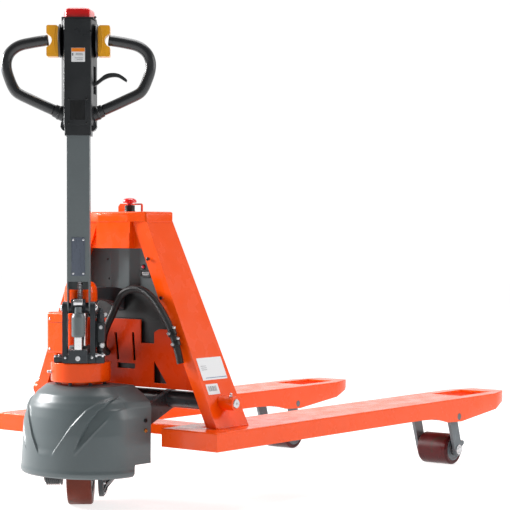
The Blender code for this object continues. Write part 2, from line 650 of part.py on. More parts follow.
def drive_unit(frame):
    """Turntable plate with two cheeks, the wheel axle, the gearbox and the motor."""
    body = rod("drive_fork", (0, 0, 0.2035), (0, 0, 0.2116), 0.075, frame, sides=FINE)
    for side in (-1, 1):
        cheek = plate(f"fork_cheek_{side + 1}", [(-0.040, 0.206), (-0.030, 0.085), (-0.018, 0.066),
                                                 (0.018, 0.066), (0.030, 0.085), (0.040, 0.206)],
                      0.0065, (0.0345 if side > 0 else -0.0410, 0, 0), Y, Z, frame)
        join(body, cheek)
    join(body, rod("fork_axle", (-0.038, 0, DRIVE_RADIUS), (0.038, 0, DRIVE_RADIUS), 0.015, frame))
    finish(body, DARK_METAL)
    gearbox = [(0, 0.0370), (0.034, 0.0370), (0.046, 0.0330), (0.062, 0.0150), (0.083, 0.0105), (0.083, 0.0),
               (0, 0.0)]
    finish(turned("gearbox", gearbox, (0.0413, 0, DRIVE_RADIUS), X, frame, 32), CHARCOAL)
    motor = [(0, 0.0400), (0.050, 0.0400), (0.0565, 0.0340), (0.0565, 0.0), (0, 0.0)]
    finish(turned("drive_motor", motor, (-0.0413, 0, DRIVE_RADIUS), -X, frame, 32), CHARCOAL)


def lift_barrel(frame):
    """Outer barrel of the lift ram, through the ring and the pump body."""
    barrel = [(0.026, 0.3550), (0.026, 0.2119), (0.0165, 0.2119), (0.0165, 0.3550)]
    finish(turned("lift_barrel", barrel, (0, 0, 0), Z, frame, 32), DARK_METAL)


def pump(frame):
    """Pump body on the ring, with the tiller yoke and release valve."""
    base = box("pump_body", (-0.0375, -0.060, PUMP_FOOT_Z), (0.0375, 0.042, 0.336), frame)
    block = box("pump_block", (-0.021, -0.106, 0.3185), (0.021, -0.055, 0.347), frame)
    foot = box("pump_foot", (-0.0375, -0.0800, 0.3185), (0.0375, -0.055, 0.336), frame)
    sleeve = rod("plunger_sleeve", (0, -PLUNGER_N, 0.325), (0, -PLUNGER_N, 0.3755), 0.0100, frame)
    join(base, foot, block)
    cut(base, rod("cap_recess", (0, -PLUNGER_N, 0.3364), (0, -PLUNGER_N, 0.36), 0.0163, frame))
    join(base, sleeve)
    for side in (-1, 1):
        inner, outer = sorted((side * 0.0264, side * 0.0375))
        outline = ([(-0.040, 0.334), (-0.040, 0.420)]
                   + arc(-TILLER_N, TILLER_Z, 0.0145, -10, 190, 11)[::1]
                   + [(-0.080, 0.420), (-0.080, 0.334)])
        arm = plate(f"yoke_arm_{side + 1}", outline, outer - inner, (inner, 0, 0), Y, Z, frame)
        join(base, arm)
    cut(base, rod("barrel_bore", (0, 0, 0.30), (0, 0, 0.36), 0.0276, frame, sides=32),
        rod("pin_bore", (-0.06, -TILLER_N, TILLER_Z), (0.06, -TILLER_N, TILLER_Z), 0.0073, frame))
    finish(base, DARK_METAL)
    valve = [(0, 0.4390), (0.0060, 0.4390), (0.0060, 0.4310), (0.0100, 0.4290), (0.0100, 0.3560), (0.0070, 0.3540),
             (0.0070, 0.3420), (0.0100, 0.3400), (0.0100, 0.3190), (0, 0.3190)]
    valve_body = turned("release_valve", valve, (0.0483, -0.052, 0), Z, frame, ROUND)
    finish(valve_body, DARK_METAL)
    pin = rod("tiller_pin", (-0.0425, -TILLER_N, TILLER_Z), (0.0425, -TILLER_N, TILLER_Z), 0.0070, frame)
    finish(pin, STEEL)


def plunger(frame):
    """Stepped plunger cap, hollow, which slides over the fixed sleeve."""
    profile = [(0, 0.4434), (0.0075, 0.4434), (0.0085, 0.4424), (0.0085, 0.4300), (0.0125, 0.4275),
               (0.0155, 0.4200), (0.0155, 0.3800), (0.0145, 0.3765), (0.0103, 0.3765), (0.0103, 0.4168), (0, 0.4168)]
    return finish(turned("plunger", profile, (0, -PLUNGER_N, 0), Z, frame, ROUND), GREY_TUBE)


# Tiller -----------------------------------------------------------------------------------------
def tiller_tube(frame):
    """Square tube whose two side walls run down to round ears on the tiller pin."""
    wall = 0.003
    profile = ([(-TUBE_N0, TUBE_TOP), (-TUBE_N1, TUBE_TOP), (-TUBE_N1, 0.4750)]
               + arc(-TILLER_N, TILLER_Z, 0.0130, 190, 350, 9) + [(-TUBE_N0, 0.4750)])
    body = plate("tiller_tube", profile, 2 * TUBE_HALF_T, (-TUBE_HALF_T, 0, 0), Y, Z, frame)
    bevel(body, 0.0025, 2, 60)
    bore = box("tube_bore", (-TUBE_HALF_T + wall, -TUBE_N1 + wall, 0.40),
               (TUBE_HALF_T - wall, -TUBE_N0 - wall, 0.90), frame)
    window = box("tube_window", (-TUBE_HALF_T + wall, -0.10, 0.39), (TUBE_HALF_T - wall, -0.07, 0.4990), frame)
    slit = box("tube_slit", (-TUBE_HALF_T + wall, -0.06, 0.38), (TUBE_HALF_T - wall, -0.03, 0.4800), frame)
    pin_hole = rod("ear_bore", (-0.04, -TILLER_N, TILLER_Z), (0.04, -TILLER_N, TILLER_Z), 0.0073, frame)
    cut(body, bore, window, slit, pin_hole)
    return finish(body, GREY_TUBE)


def pump_crank(frame, roller_frame):
    """Sleeve on the tiller pin with two ears that carry the pressure roller."""
    roller = (-PLUNGER_N, 0.4530)
    half = TUBE_HALF_T - 0.003 - GAP
    body = rod("pump_crank", (-half, -TILLER_N, TILLER_Z), (half, -TILLER_N, TILLER_Z), 0.0122, frame)
    for side in (-1, 1):
        inner = 0.0108 if side > 0 else -0.0158
        join(body, plate(f"crank_ear_{side + 1}", link_outline((-TILLER_N, TILLER_Z), roller, 0.0107, 0.0075),
                         0.005, (inner, 0, 0), Y, Z, frame))
    join(body, rod("crank_axle", (-0.0125, *roller), (0.0125, *roller), 0.0030, frame, sides=12))
    cut(body, rod("crank_bore", (-0.04, -TILLER_N, TILLER_Z), (0.04, -TILLER_N, TILLER_Z), 0.0073, frame))
    finish(body, GREY_TUBE)
    profile = [(0.0090, 0.0103), (0.0090, -0.0103), (0.0033, -0.0103), (0.0033, 0.0103)]
    finish(turned("pressure_roller", profile, (0, *roller), X, roller_frame, ROUND), STEEL)


def head_half(n):
    """Half width of the head at a distance n in front of the steering axis."""
    return 0.031 + 0.010 * (0.100 - n) / 0.060


def button_plan(margin):
    """The red button's outline from above, widened by a margin."""
    front, back, rear = 0.0275 + margin, 0.0355 + margin, 0.0330 + margin
    return [(-front, -0.0915 - margin), (front, -0.0915 - margin), (back, -0.0420), (rear, -0.0365 + margin),
            (-rear, -0.0365 + margin), (-back, -0.0420)]


def tiller_head(frame):
    """Tapered control head with its pockets, on a flared collar."""
    plan = [(-0.031, -0.100), (0.031, -0.100), (0.041, -0.040), (0.036, -0.026), (-0.036, -0.026), (-0.041, -0.040)]
    head = plate("tiller_head", plan, HEAD_TOP - HEAD_LOW, (0, 0, HEAD_LOW), X, Y, frame)
    bevel(head, 0.004, 2, 20)
    window = box("head_window", (-0.017, -0.12, 0.859), (0.017, -0.0965, 0.903), frame)
    pocket = plate("button_pocket", button_plan(0.0005), 0.032, (0, 0, 1.068), X, Y, frame)
    slot = box("lever_slot", (0.026, -0.078, 0.918), (0.06, -0.052, 0.980), frame)
    collar = box("head_collar", (-0.0305, -0.0950, 0.825), (0.0305, -0.0330, HEAD_LOW + 0.010), frame)
    bevel(collar, 0.004, 2, 60)
    join(head, collar)
    cut(head, window, pocket, slot, box("collar_bore", (-TUBE_HALF_T - GAP, -TUBE_N1 - GAP, 0.80),
                                        (TUBE_HALF_T + GAP, -TUBE_N0 + GAP, HEAD_LOW), frame))
    finish(head, CHARCOAL)
    cap = plate("head_cap", [(-0.036, -0.101), (0.036, -0.101), (0.0405, -0.045), (0.036, -0.024), (-0.036, -0.024),
                             (-0.0405, -0.045)], 0.0035, (0, 0, HEAD_TOP + GAP), X, Y, frame,
                holes=[button_plan(0.0005)])
    join(cap, rod("cap_knob", (0.0365, -0.080, 1.0850), (0.0405, -0.080, 1.0905), 0.0025, frame, sides=12))
    finish(cap, BLACK)


def belly_button(frame):
    """Wide red reversing button that rises out of the end of the head."""
    button = plate("belly_button", button_plan(0.0), 0.0320, (0, 0, 1.0780), X, Y, frame)
    bevel(button, 0.007, 4, 25)
    return finish(button, RED)


def paddle(side, name, frame):
    """Butterfly thumb paddle with a notch in its outer edge."""
    inner, outer = 0.0455, 0.0725
    outline = [(inner, 1.0016), (outer, 1.0016), (outer, 1.0222), (0.0655, 1.0262), (0.0610, 1.0330),
               (0.0600, 1.0385), (0.0620, 1.0455), (0.0680, 1.0505), (outer, 1.0532), (outer, 1.0715),
               (0.0500, 1.0715), (inner + 0.0015, 1.0700), (inner, 1.0660)]
    outline = [(side * t, z) for t, z in outline]
    body = plate(name, outline, 0.030, (0, -TILLER_N + 0.015, 0), X, Z, frame)
    bevel(body, 0.003, 2, 50)
    return finish(body, YELLOW)


def paddle_hub(side, name, frame):
    start = side * (head_half(0.040) + 0.0004)
    profile = [(0, 0.0036), (0.0355, 0.0036), (0.0375, 0.0020), (0.0375, 0.0), (0, 0.0)]
    obj = turned(name, profile, (start, -TILLER_N, PADDLE_Z), X * side, frame, 32)
    return finish(obj, CHARCOAL)


GRIP_LOOP = [(0.0687, 1.0390), (0.0900, 1.0360), (0.1098, 1.0325), (0.1300, 1.0280), (0.1450, 1.0210),
             (0.1576, 1.0090), (0.1640, 0.9940), (0.1650, 0.9800), (0.1625, 0.9660), (0.1570, 0.9500),
             (0.1500, 0.9340), (0.1420, 0.9230), (0.1300, 0.9155), (0.1100, 0.9063), (0.0893, 0.8968),
             (0.0560, 0.8822)]


def grip(side, name, frame):
    points = spline_points([(side * t, -TILLER_N, z) for t, z in GRIP_LOOP], 1)
    obj = tube(name, points, 0.0124, frame, 4)
    return finish(obj, CHARCOAL)


def grip_socket(side, name, frame):
    """Collar on the head's side that the grip bar plugs into."""
    heading = Vector((side * 0.9155, 0, 0.4023))
    start = Vector((side * 0.0375, -TILLER_N, 0.8741))
    body = rod(name, start, start + heading * 0.0196, 0.0158, frame, end_radius=0.0142)
    trim = plate(name + "_trim", [(head_half(0.100) + GAP * 2, -0.100), (0.0900, -0.100), (0.0900, -0.040),
                                  (head_half(0.040) + GAP * 2, -0.040)], 0.12, (0, 0, 0.82), X, Y, frame)
    if side < 0:
        trim.matrix_basis = Matrix.Diagonal((-1, 1, 1, 1)) @ trim.matrix_basis
    keep_inside(body, trim)
    return finish(body, CHARCOAL)


def lowering_lever(frame):
    """Curved finger lever for lowering, on a pin in the head's side slot."""
    path = [(0.0300, 0.9360), (0.0440, 0.9440), (0.0600, 0.9560), (0.0760, 0.9610), (0.0920, 0.9600),
            (0.1060, 0.9520), (0.1115, 0.9475)]
    widths = [0.0045, 0.0055, 0.0060, 0.0050, 0.0040, 0.0035, 0.0025]
    upper = [(t, z + w) for (t, z), w in zip(path, widths)]
    lower = [(t - 0.002, z - w) for (t, z), w in zip(path, widths)]
    body = plate("lowering_lever", upper + lower[::-1], 0.012, (0, -TILLER_N + 0.006, 0), X, Z, frame)
    bevel(body, 0.002, 2, 50)
    return finish(body, CHARCOAL)


# Assembly ---------------------------------------------------------------------------------------
def build():
    root = Frame("truck")
    chassis = Frame("chassis_axis", (0, 0, 0), root)
    for side, tag in ((1, "left"), (-1, "right")):
        fork(side, "fork_" + tag, chassis)
        side_frame(side, "side_frame_" + tag, chassis)
        finish(rod("rocker_pin_" + tag, (ROCKER_X, side * 0.2150, ROCKER_Z), (ROCKER_X, side * 0.3135, ROCKER_Z),
                   0.0105, chassis), STEEL)
        y0, y1 = side * FORK_Y - FORK_HALF, side * FORK_Y + FORK_HALF
        finish(rod("bracket_pin_" + tag, (BRACKET_X, y0, BRACKET_Z), (BRACKET_X, y1, BRACKET_Z), 0.0085, chassis),
               STEEL)
    crown(chassis)
    back_plate(chassis)
    battery_cover(chassis)
    finish(box("battery", (0.171, -0.095, 0.335), (0.1965, 0.095, 0.560), chassis), BLACK)
    finish(rod("status_lamp", (0.1657, -0.038, 0.5285), (0.1620, -0.038, 0.5285), 0.0040, chassis, sides=16), RED)
    gauge = box("charge_gauge", (0.1622, -0.062, 0.505), (0.1657, -0.031, 0.522), chassis)
    finish(gauge, BLACK)
    front_panel(chassis)
    pump_guard(chassis)
    charger_box(chassis)
    inner = FORK_Y - FORK_HALF - GAP
    beam = box("cross_beam", (0.172, -inner, 0.1455), (0.248, inner, 0.1700), chassis)
    finish(bevel(beam, 0.003), ORANGE)
    estop(chassis, Frame("estop_axis", (0.16, 0, 0.66), root))
    lift_crown(chassis)
    harness(chassis)

    rocker(Frame("rocker_axis", (ROCKER_X, 0, ROCKER_Z), root))
    for side, tag in ((1, "left"), (-1, "right")):
        push_rod(side, "push_rod_" + tag, Frame("rod_axis_" + tag, (0, 0, 0), root))
        arm_axis = Frame("bracket_axis_" + tag, (BRACKET_X, side * FORK_Y, BRACKET_Z), root)
        load_bracket(side, "load_bracket_" + tag, arm_axis)
        yc = side * FORK_Y
        finish(rod("roller_axle_" + tag, (LOAD_AXLE_X, yc - 0.0625, LOAD_AXLE_Z),
                   (LOAD_AXLE_X, yc + 0.0625, LOAD_AXLE_Z), 0.008, arm_axis), STEEL)
        load_roller(side, "load_roller_" + tag, Frame("roller_axis_" + tag, (LOAD_AXLE_X, yc, LOAD_AXLE_Z), root))

    carrier = Frame("carrier_axis", (0, 0, 0), root)
    bearing_ring(carrier)
    carrier_yoke(carrier)
    drive_cover(carrier)

    steering = Frame("steering_axis", (0, 0, 0), root, STEER_ANGLE - math.pi / 2)
    drive_wheel(Frame("drive_axle_axis", (0, 0, DRIVE_RADIUS), steering))
    drive_unit(steering)
    lift_barrel(steering)
    middle = Matrix.Translation((0, 0, HANDLE_FIT_Z))
    handle = Frame("handle_axis", (0, 0, 0), steering,
                   fit=middle @ Matrix.Diagonal((*HANDLE_FIT, 1)) @ middle.inverted())
    pump(handle)
    plunger(Frame("plunger_axis", (0, -PLUNGER_N, 0.40), handle))

    tiller = Frame("tiller_axis", (0, -TILLER_N, TILLER_Z), handle)
    tiller_tube(tiller)
    pump_crank(tiller, Frame("pressure_roller_axis", (0, -PLUNGER_N, 0.4530), handle))
    tiller_head(tiller)
    belly_button(Frame("belly_axis", (0, -TILLER_N, 1.09), handle))
    lowering_lever(Frame("lever_axis", (0.0340, -TILLER_N, 0.9390), handle))
    for side, tag in ((-1, "left"), (1, "right")):
        paddle(side, "paddle_" + tag, Frame("paddle_axis_" + tag, (side * 0.05, -TILLER_N, PADDLE_Z), handle))
        paddle_hub(side, "paddle_hub_" + tag, tiller)
        grip(side, "grip_" + tag, tiller)
        grip_socket(side, "grip_socket_" + tag, tiller)

    root.empty.location = (STEERING_AXIS_X, 0, 0)


build()
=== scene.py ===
"""Looks of the semi-electric pallet truck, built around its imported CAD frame.

Lengths are metres. Shapes are written in the truck's own frame (TRUCK), whose X = 0, Y = 0 is the
steering axis with +X towards the fork tips, or in the steered frame (STEERED), where x is the
operator's right and -y faces the operator. Both stand on the floor at z = 0. The pump, tiller, head
and their fittings are written at the size they were first drawn, and HANDLE trims them to fit the photo.
"""
import json
import math
import random

import bmesh
import bpy
from mathutils import Matrix, Vector


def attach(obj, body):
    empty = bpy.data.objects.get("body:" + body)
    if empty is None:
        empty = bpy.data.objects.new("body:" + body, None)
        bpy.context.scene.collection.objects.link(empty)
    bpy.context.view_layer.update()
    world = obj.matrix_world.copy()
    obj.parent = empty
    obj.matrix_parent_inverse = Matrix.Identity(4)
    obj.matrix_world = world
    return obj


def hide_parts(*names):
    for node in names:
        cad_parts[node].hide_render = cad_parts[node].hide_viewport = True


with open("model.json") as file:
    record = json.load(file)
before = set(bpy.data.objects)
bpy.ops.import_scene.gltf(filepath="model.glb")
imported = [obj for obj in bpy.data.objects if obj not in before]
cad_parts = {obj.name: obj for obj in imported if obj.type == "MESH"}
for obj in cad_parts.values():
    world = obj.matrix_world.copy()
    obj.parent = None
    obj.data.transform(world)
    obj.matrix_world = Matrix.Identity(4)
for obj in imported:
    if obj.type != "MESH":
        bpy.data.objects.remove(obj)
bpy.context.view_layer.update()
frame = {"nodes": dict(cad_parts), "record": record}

STEERING_AXIS_X = -0.57662
TRUCK = Matrix.Translation((STEERING_AXIS_X, 0, 0))
STEERED = TRUCK @ Matrix.Rotation(math.radians(-49), 4, "Z")
HANDLE_MIDDLE = Matrix.Translation((0, 0, 0.558))
HANDLE_SIZE = Matrix.Diagonal((0.957, 0.980, 0.980, 1))
HANDLE = STEERED @ HANDLE_MIDDLE @ HANDLE_SIZE @ HANDLE_MIDDLE.inverted()
X, Y, Z = Vector((1, 0, 0)), Vector((0, 1, 0)), Vector((0, 0, 1))
SIDES = ((-1, "right"), (1, "left"))              # chassis sides, by the sign of y
HANDS = ((-1, "left"), (1, "right"))              # operator's hands, by the sign of x in the steered frame

FORK_Y, FORK_HALF, FORK_TOP = 0.2625, 0.080, 0.177
FRAME_BASE_Y, FRAME_LEAN, FRAME_TOP, CROWN_TOP = 0.2949, 0.4348, 0.632, 0.655
ROCKER_X, ROCKER_Z, ROD_Y = 0.168, 0.231, 0.245
STOP_X = 0.16
BRACKET_X, BRACKET_Z = 1.039, 0.130
LOAD_AXLE_X, LOAD_AXLE_Z, LOAD_RADIUS = 1.068, 0.040, 0.040
DRIVE_RADIUS, DRIVE_HALF, DRIVE_FACE = 0.100, 0.027, 0.0413
RING_RADIUS, RING_LOW, RING_TOP = 0.0668, 0.2842, 0.3194
TILLER_N, TILLER_Z, PLUNGER_N = 0.064, 0.4396, 0.089
TUBE_HALF_T, TUBE_N0, TUBE_N1 = 0.026, 0.042, 0.086
HEAD_LOW, HEAD_TOP, HEAD_FRONT, PADDLE_Z = 0.8475, 1.083, -0.1000, 1.0376
WINDOW_Z, WINDOW_FLOOR = 0.881, -0.0965
LAMP_Y, LAMP_Z, GAUGE_Y, GAUGE_Z = -0.038, 0.5285, -0.0465, 0.5135
PAPER_THICK, BEAD_STEP, WEAR_WIDTH, COAT_ROUGHNESS = 0.0004, 0.0010, 0.0012, 0.12

BODY_OF = {node: body for body, nodes in frame["record"]["behaviour"]["bodies"].items() for node in nodes}


# Materials --------------------------------------------------------------------------------------
class Look:
    """A procedural material: mottled colour, uneven roughness, a fine grain and worn edges."""

    def __init__(self, name, slot, colour, roughness, metallic=0.0, coat=0.0, mottle=0.06, rough_spread=0.08,
                 grain=(900, 0.00003), relief=None, wear=None, streak=(1, 1, 1), specular=0.5, spots=None,
                 scratches=0.0):
        self.slot = slot
        self.material = bpy.data.materials.new(name)
        self.material.use_nodes = True
        self.tree = self.material.node_tree
        self.shader = self.tree.nodes["Principled BSDF"]
        self.shader.inputs["Metallic"].default_value = metallic
        self.shader.inputs["Coat Weight"].default_value = coat
        self.shader.inputs["Coat Roughness"].default_value = COAT_ROUGHNESS
        self.shader.inputs["Specular IOR Level"].default_value = specular
        self.place = self.node("ShaderNodeTexCoord").outputs["Object"]
        mapping = self.node("ShaderNodeMapping", inputs={"Scale": streak, "Vector": self.place})
        self.stretched = mapping.outputs["Vector"]

        cloud = self.noise(7.0, 4.0, self.stretched)
        fleck = self.noise(160.0, 2.0, self.stretched)
        dark = tuple(c * (1 - mottle) for c in colour)
        light = tuple(min(1.0, c * (1 + mottle) + mottle * 0.01) for c in colour)
        tone = self.mix(self.span(cloud, 0.3, 0.7), dark, light)
        tone = self.mix(self.span(fleck, 0.35, 0.75, 0.0, 0.5), tone, dark)
        rough = self.span(self.noise(23.0, 5.0, self.stretched), 0.3, 0.7,
                          max(0.03, roughness - rough_spread), min(1.0, roughness + rough_spread))
        if spots:
            mask = self.span(self.noise(spots[0], 3.0, self.place), spots[1], spots[1] + 0.05)
            tone = self.mix(mask, tone, spots[2])
        if scratches:
            lines = self.node("ShaderNodeTexWave", inputs={"Scale": 3.0, "Distortion": 22.0, "Detail": 3.0,
                                                          "Detail Scale": 2.2, "Vector": self.place})
            mask = self.span(lines.outputs["Fac"], 0.985, 1.0, 0.0, scratches)
            tone = self.mix(mask, tone, tuple(min(1.0, c * 1.8 + 0.06) for c in colour))
            rough = self.math("ADD", rough, self.math("MULTIPLY", mask, 0.25))
        if wear:
            tone = self.mix(self.edge_mask(), tone, wear)
        self.tree.links.new(tone, self.shader.inputs["Base Color"])
        self.tree.links.new(rough, self.shader.inputs["Roughness"])

        bump = self.node("ShaderNodeBump", inputs={"Strength": 1.0, "Distance": grain[1],
                                                   "Height": self.noise(grain[0], 3.0, self.place)})
        if relief:
            bump = self.node("ShaderNodeBump", inputs={"Strength": 1.0, "Distance": relief[1],
                                                       "Height": self.noise(relief[0], 4.0, self.stretched),
                                                       "Normal": bump.outputs["Normal"]})
        self.tree.links.new(bump.outputs["Normal"], self.shader.inputs["Normal"])

    def node(self, kind, settings=(), inputs=()):
        made = self.tree.nodes.new(kind)
        for key, value in dict(settings).items():
            setattr(made, key, value)
        for key, value in dict(inputs).items():
            if isinstance(value, bpy.types.NodeSocket):
                self.tree.links.new(value, made.inputs[key])
            else:
                made.inputs[key].default_value = value
        return made

    def noise(self, scale, detail, vector):
        return self.node("ShaderNodeTexNoise",
                         inputs={"Scale": scale, "Detail": detail, "Vector": vector}).outputs["Fac"]

    def span(self, value, low, high, to_low=0.0, to_high=1.0):
        return self.node("ShaderNodeMapRange", {"interpolation_type": "SMOOTHSTEP"},
                         {0: value, 1: low, 2: high, 3: to_low, 4: to_high}).outputs[0]

    def math(self, operation, first, second):
        return self.node("ShaderNodeMath", {"operation": operation}, {0: first, 1: second}).outputs[0]

    def mix(self, factor, first, second):
        """Blend two colours; A and B are the colour sockets 6 and 7 of a Mix node."""
        ends = [v if isinstance(v, bpy.types.NodeSocket) else (*v, 1.0) for v in (first, second)]
        return self.node("ShaderNodeMix", {"data_type": "RGBA"},
                         {0: factor, 6: ends[0], 7: ends[1]}).outputs[2]

    def edge_mask(self):
        """Broken bands along outer and inner edges, where a rounded normal leaves the true one."""
        soft = self.node("ShaderNodeBevel", {"samples": 4}, {"Radius": WEAR_WIDTH}).outputs["Normal"]
        true = self.node("ShaderNodeNewGeometry").outputs["Normal"]
        meet = self.node("ShaderNodeVectorMath", {"operation": "DOT_PRODUCT"},
                         {0: soft, 1: true}).outputs["Value"]
        edge = self.span(meet, 0.985, 0.90)
        broken = self.span(self.noise(55.0, 4.0, self.place), 0.42, 0.62)
        return self.math("MULTIPLY", edge, broken)


PALE_ORANGE = (1.0, 0.16, 0.025)
ORANGE = Look("orange_powder_coat", "orange_paint", (0.93, 0.080, 0.0005), 0.24, coat=0.20, mottle=0.03,
              grain=(700, 0.00002), relief=(90, 0.00003), wear=PALE_ORANGE, specular=0.22)
# Darker copy of the orange powder coat for the front panel, which sits back in the frame away from the key
# light: painted shade, not a different paint.
PAINTED_SHADE_ORANGE = Look("orange_powder_coat_painted_shade", "orange_paint", (0.46, 0.028, 0.0004), 0.30, coat=0.10,
                     mottle=0.04, grain=(700, 0.00002), relief=(90, 0.00003), wear=(0.80, 0.10, 0.01),
                     specular=0.15)
COVER = Look("grey_moulded_cover", "cover_grey", (0.105, 0.129, 0.135), 0.34, mottle=0.03, rough_spread=0.015,
             grain=(1500, 0.00002), relief=(40, 0.00003))
TUBE = Look("grey_tube_paint", "tube_grey", (0.125, 0.148, 0.155), 0.36, mottle=0.05, grain=(900, 0.00004),
            wear=(0.22, 0.25, 0.27))
CAST = Look("dark_casting", "dark_paint", (0.034, 0.040, 0.046), 0.40, metallic=0.30, mottle=0.16,
            rough_spread=0.12, grain=(420, 0.00014), relief=(110, 0.00020), wear=(0.12, 0.13, 0.14))
ARM = Look("dark_arm_paint", "dark_paint", (0.034, 0.040, 0.045), 0.32, coat=0.2, mottle=0.12,
           grain=(800, 0.00005), relief=(60, 0.00008), wear=(0.13, 0.14, 0.15), scratches=0.2)
BRACKET = Look("bracket_grey_paint", "dark_paint", (0.105, 0.128, 0.142), 0.36, mottle=0.10,
               grain=(800, 0.00006), wear=(0.30, 0.31, 0.32), scratches=0.3)
CHARCOAL = Look("charcoal_plastic", "charcoal_plastic", (0.0145, 0.0170, 0.0195), 0.34, mottle=0.08,
                grain=(1900, 0.00003), wear=(0.045, 0.050, 0.056))
BLACK = Look("black_plastic", "black_plastic", (0.0045, 0.0050, 0.0058), 0.40, mottle=0.10,
             grain=(1600, 0.00004), wear=(0.020, 0.021, 0.024))
RUBBER = Look("grip_rubber", "grip_rubber", (0.0125, 0.0140, 0.0165), 0.34, coat=0.35, mottle=0.10,
              rough_spread=0.08, grain=(1300, 0.00005), relief=(320, 0.00004))
RED = Look("red_plastic", "red_plastic", (0.78, 0.003, 0.004), 0.24, coat=0.5, mottle=0.04,
           grain=(900, 0.00001))
YELLOW = Look("yellow_plastic", "yellow_plastic", (0.90, 0.40, 0.010), 0.32, mottle=0.05,
              grain=(1700, 0.00003), wear=(0.98, 0.56, 0.08))
STEEL = Look("turned_steel", "bright_steel", (0.56, 0.56, 0.57), 0.27, metallic=1.0, mottle=0.10,
             rough_spread=0.12, grain=(600, 0.00004), streak=(1, 1, 14), scratches=0.2)
ZINC = Look("zinc_plated_steel", "bright_steel", (0.63, 0.64, 0.66), 0.30, metallic=0.95, mottle=0.14,
            rough_spread=0.12, grain=(700, 0.00005), spots=(45, 0.66, (0.45, 0.42, 0.33)))
CHROME = Look("hard_chrome", "chrome", (0.78, 0.79, 0.80), 0.10, metallic=1.0, mottle=0.03, rough_spread=0.05,
              grain=(900, 0.00001), streak=(1, 1, 20))
BRASS = Look("brass", "bright_steel", (0.62, 0.40, 0.14), 0.32, metallic=1.0, mottle=0.12,
             grain=(700, 0.00005))
DRIVE_TREAD = Look("drive_tread_urethane", "drive_tread", (0.135, 0.018, 0.006), 0.48, mottle=0.22,
                   rough_spread=0.14, specular=0.22, grain=(500, 0.00010), relief=(60, 0.00018),
                   spots=(30, 0.60, (0.085, 0.026, 0.014)))
LOAD_TREAD = Look("load_tread_urethane", "load_tread", (0.058, 0.006, 0.007), 0.32, mottle=0.25,
                  rough_spread=0.12, specular=0.25, grain=(500, 0.00008), relief=(50, 0.00014),
                  spots=(26, 0.58, (0.045, 0.018, 0.013)))
PLATE = Look("satin_name_plate", "tube_grey", (0.115, 0.135, 0.175), 0.30, metallic=0.5, mottle=0.06,
             grain=(900, 0.00002), streak=(1, 12, 1))
PAPER = Look("white_label", "black_plastic", (0.80, 0.81, 0.82), 0.35, mottle=0.03, grain=(600, 0.00001))
PRINT = Look("grey_print", "black_plastic", (0.22, 0.23, 0.25), 0.40, mottle=0.10, grain=(900, 0.00001))
BLUE = Look("blue_print", "black_plastic", (0.05, 0.13, 0.33), 0.35, mottle=0.08, grain=(900, 0.00001))
LABEL_ORANGE = Look("orange_print", "orange_paint", (0.90, 0.24, 0.01), 0.38, mottle=0.08,
                    grain=(900, 0.00001))
LENS = Look("red_lens", "red_plastic", (0.85, 0.03, 0.06), 0.12, coat=0.8, mottle=0.05, grain=(900, 0.00001))


# Mesh tools -------------------------------------------------------------------------------------
def weld(bm, distance=1e-6):
    bmesh.ops.remove_doubles(bm, verts=bm.verts, dist=distance)
    bmesh.ops.recalc_face_normals(bm, faces=bm.faces)
    return bm


def loft(rings, caps=(True, True), loop=False):
    """Quads between rings of points; a ring of zero size closes to a point."""
    bm = bmesh.new()
    rows = [[bm.verts.new(p) for p in ring] for ring in rings]
    count = len(rows[0])
    pairs = list(zip(rows, rows[1:]))
    if loop:
        pairs.append((rows[-1], rows[0]))
    for low, high in pairs:
        for i in range(count):
            j = (i + 1) % count
            bm.faces.new((low[i], low[j], high[j], high[i]))
    if caps[0] and not loop:
        bm.faces.new(rows[0][::-1])
    if caps[1] and not loop:
        bm.faces.new(rows[-1])
    return weld(bm)


def hexagon(flats):
    """Radius over angle of a hexagon with this distance across its flats."""
    def radius(angle):
        return flats / 2 / math.cos((angle + math.pi / 6) % (math.pi / 3) - math.pi / 6)
    return radius


def ring(radius, height, sides):
    angles = [2 * math.pi * i / sides for i in range(sides)]
    sizes = [radius(a) if callable(radius) else radius for a in angles]
    return [(r * math.cos(a), r * math.sin(a), height) for r, a in zip(sizes, angles)]


def lathe(profile, sides=64):
    """Turn (radius, height) points about +Z; a profile that starts off the axis is a closed loop."""
    first = profile[0][0]
    closed = callable(first) or first > 0
    return loft([ring(r, h, sides) for r, h in profile], caps=(False, False), loop=closed)


def fillet(points, radius, steps=4, closed=True):
    """Round the corners of a 2D outline with one radius, or one for each corner."""
    out, count = [], len(points)
    for i, point in enumerate(points):
        size = radius[i] if isinstance(radius, (list, tuple)) else radius
        corner = Vector(point)
        back, ahead = Vector(points[i - 1]) - corner, Vector(points[(i + 1) % count]) - corner
        end = not closed and i in (0, count - 1)
        if end or size <= 0 or back.length < 1e-9 or ahead.length < 1e-9:
            out.append(tuple(corner))
            continue
        half = back.angle(ahead) / 2
        if half > math.radians(88):
            out.append(tuple(corner))
            continue
        reach = min(size / math.tan(half), 0.48 * back.length, 0.48 * ahead.length)
        start, stop = corner + back.normalized() * reach, corner + ahead.normalized() * reach
        for step in range(steps + 1):
            t = step / steps
            out.append(tuple(start * (1 - t) ** 2 + corner * 2 * t * (1 - t) + stop * t ** 2))
    return out


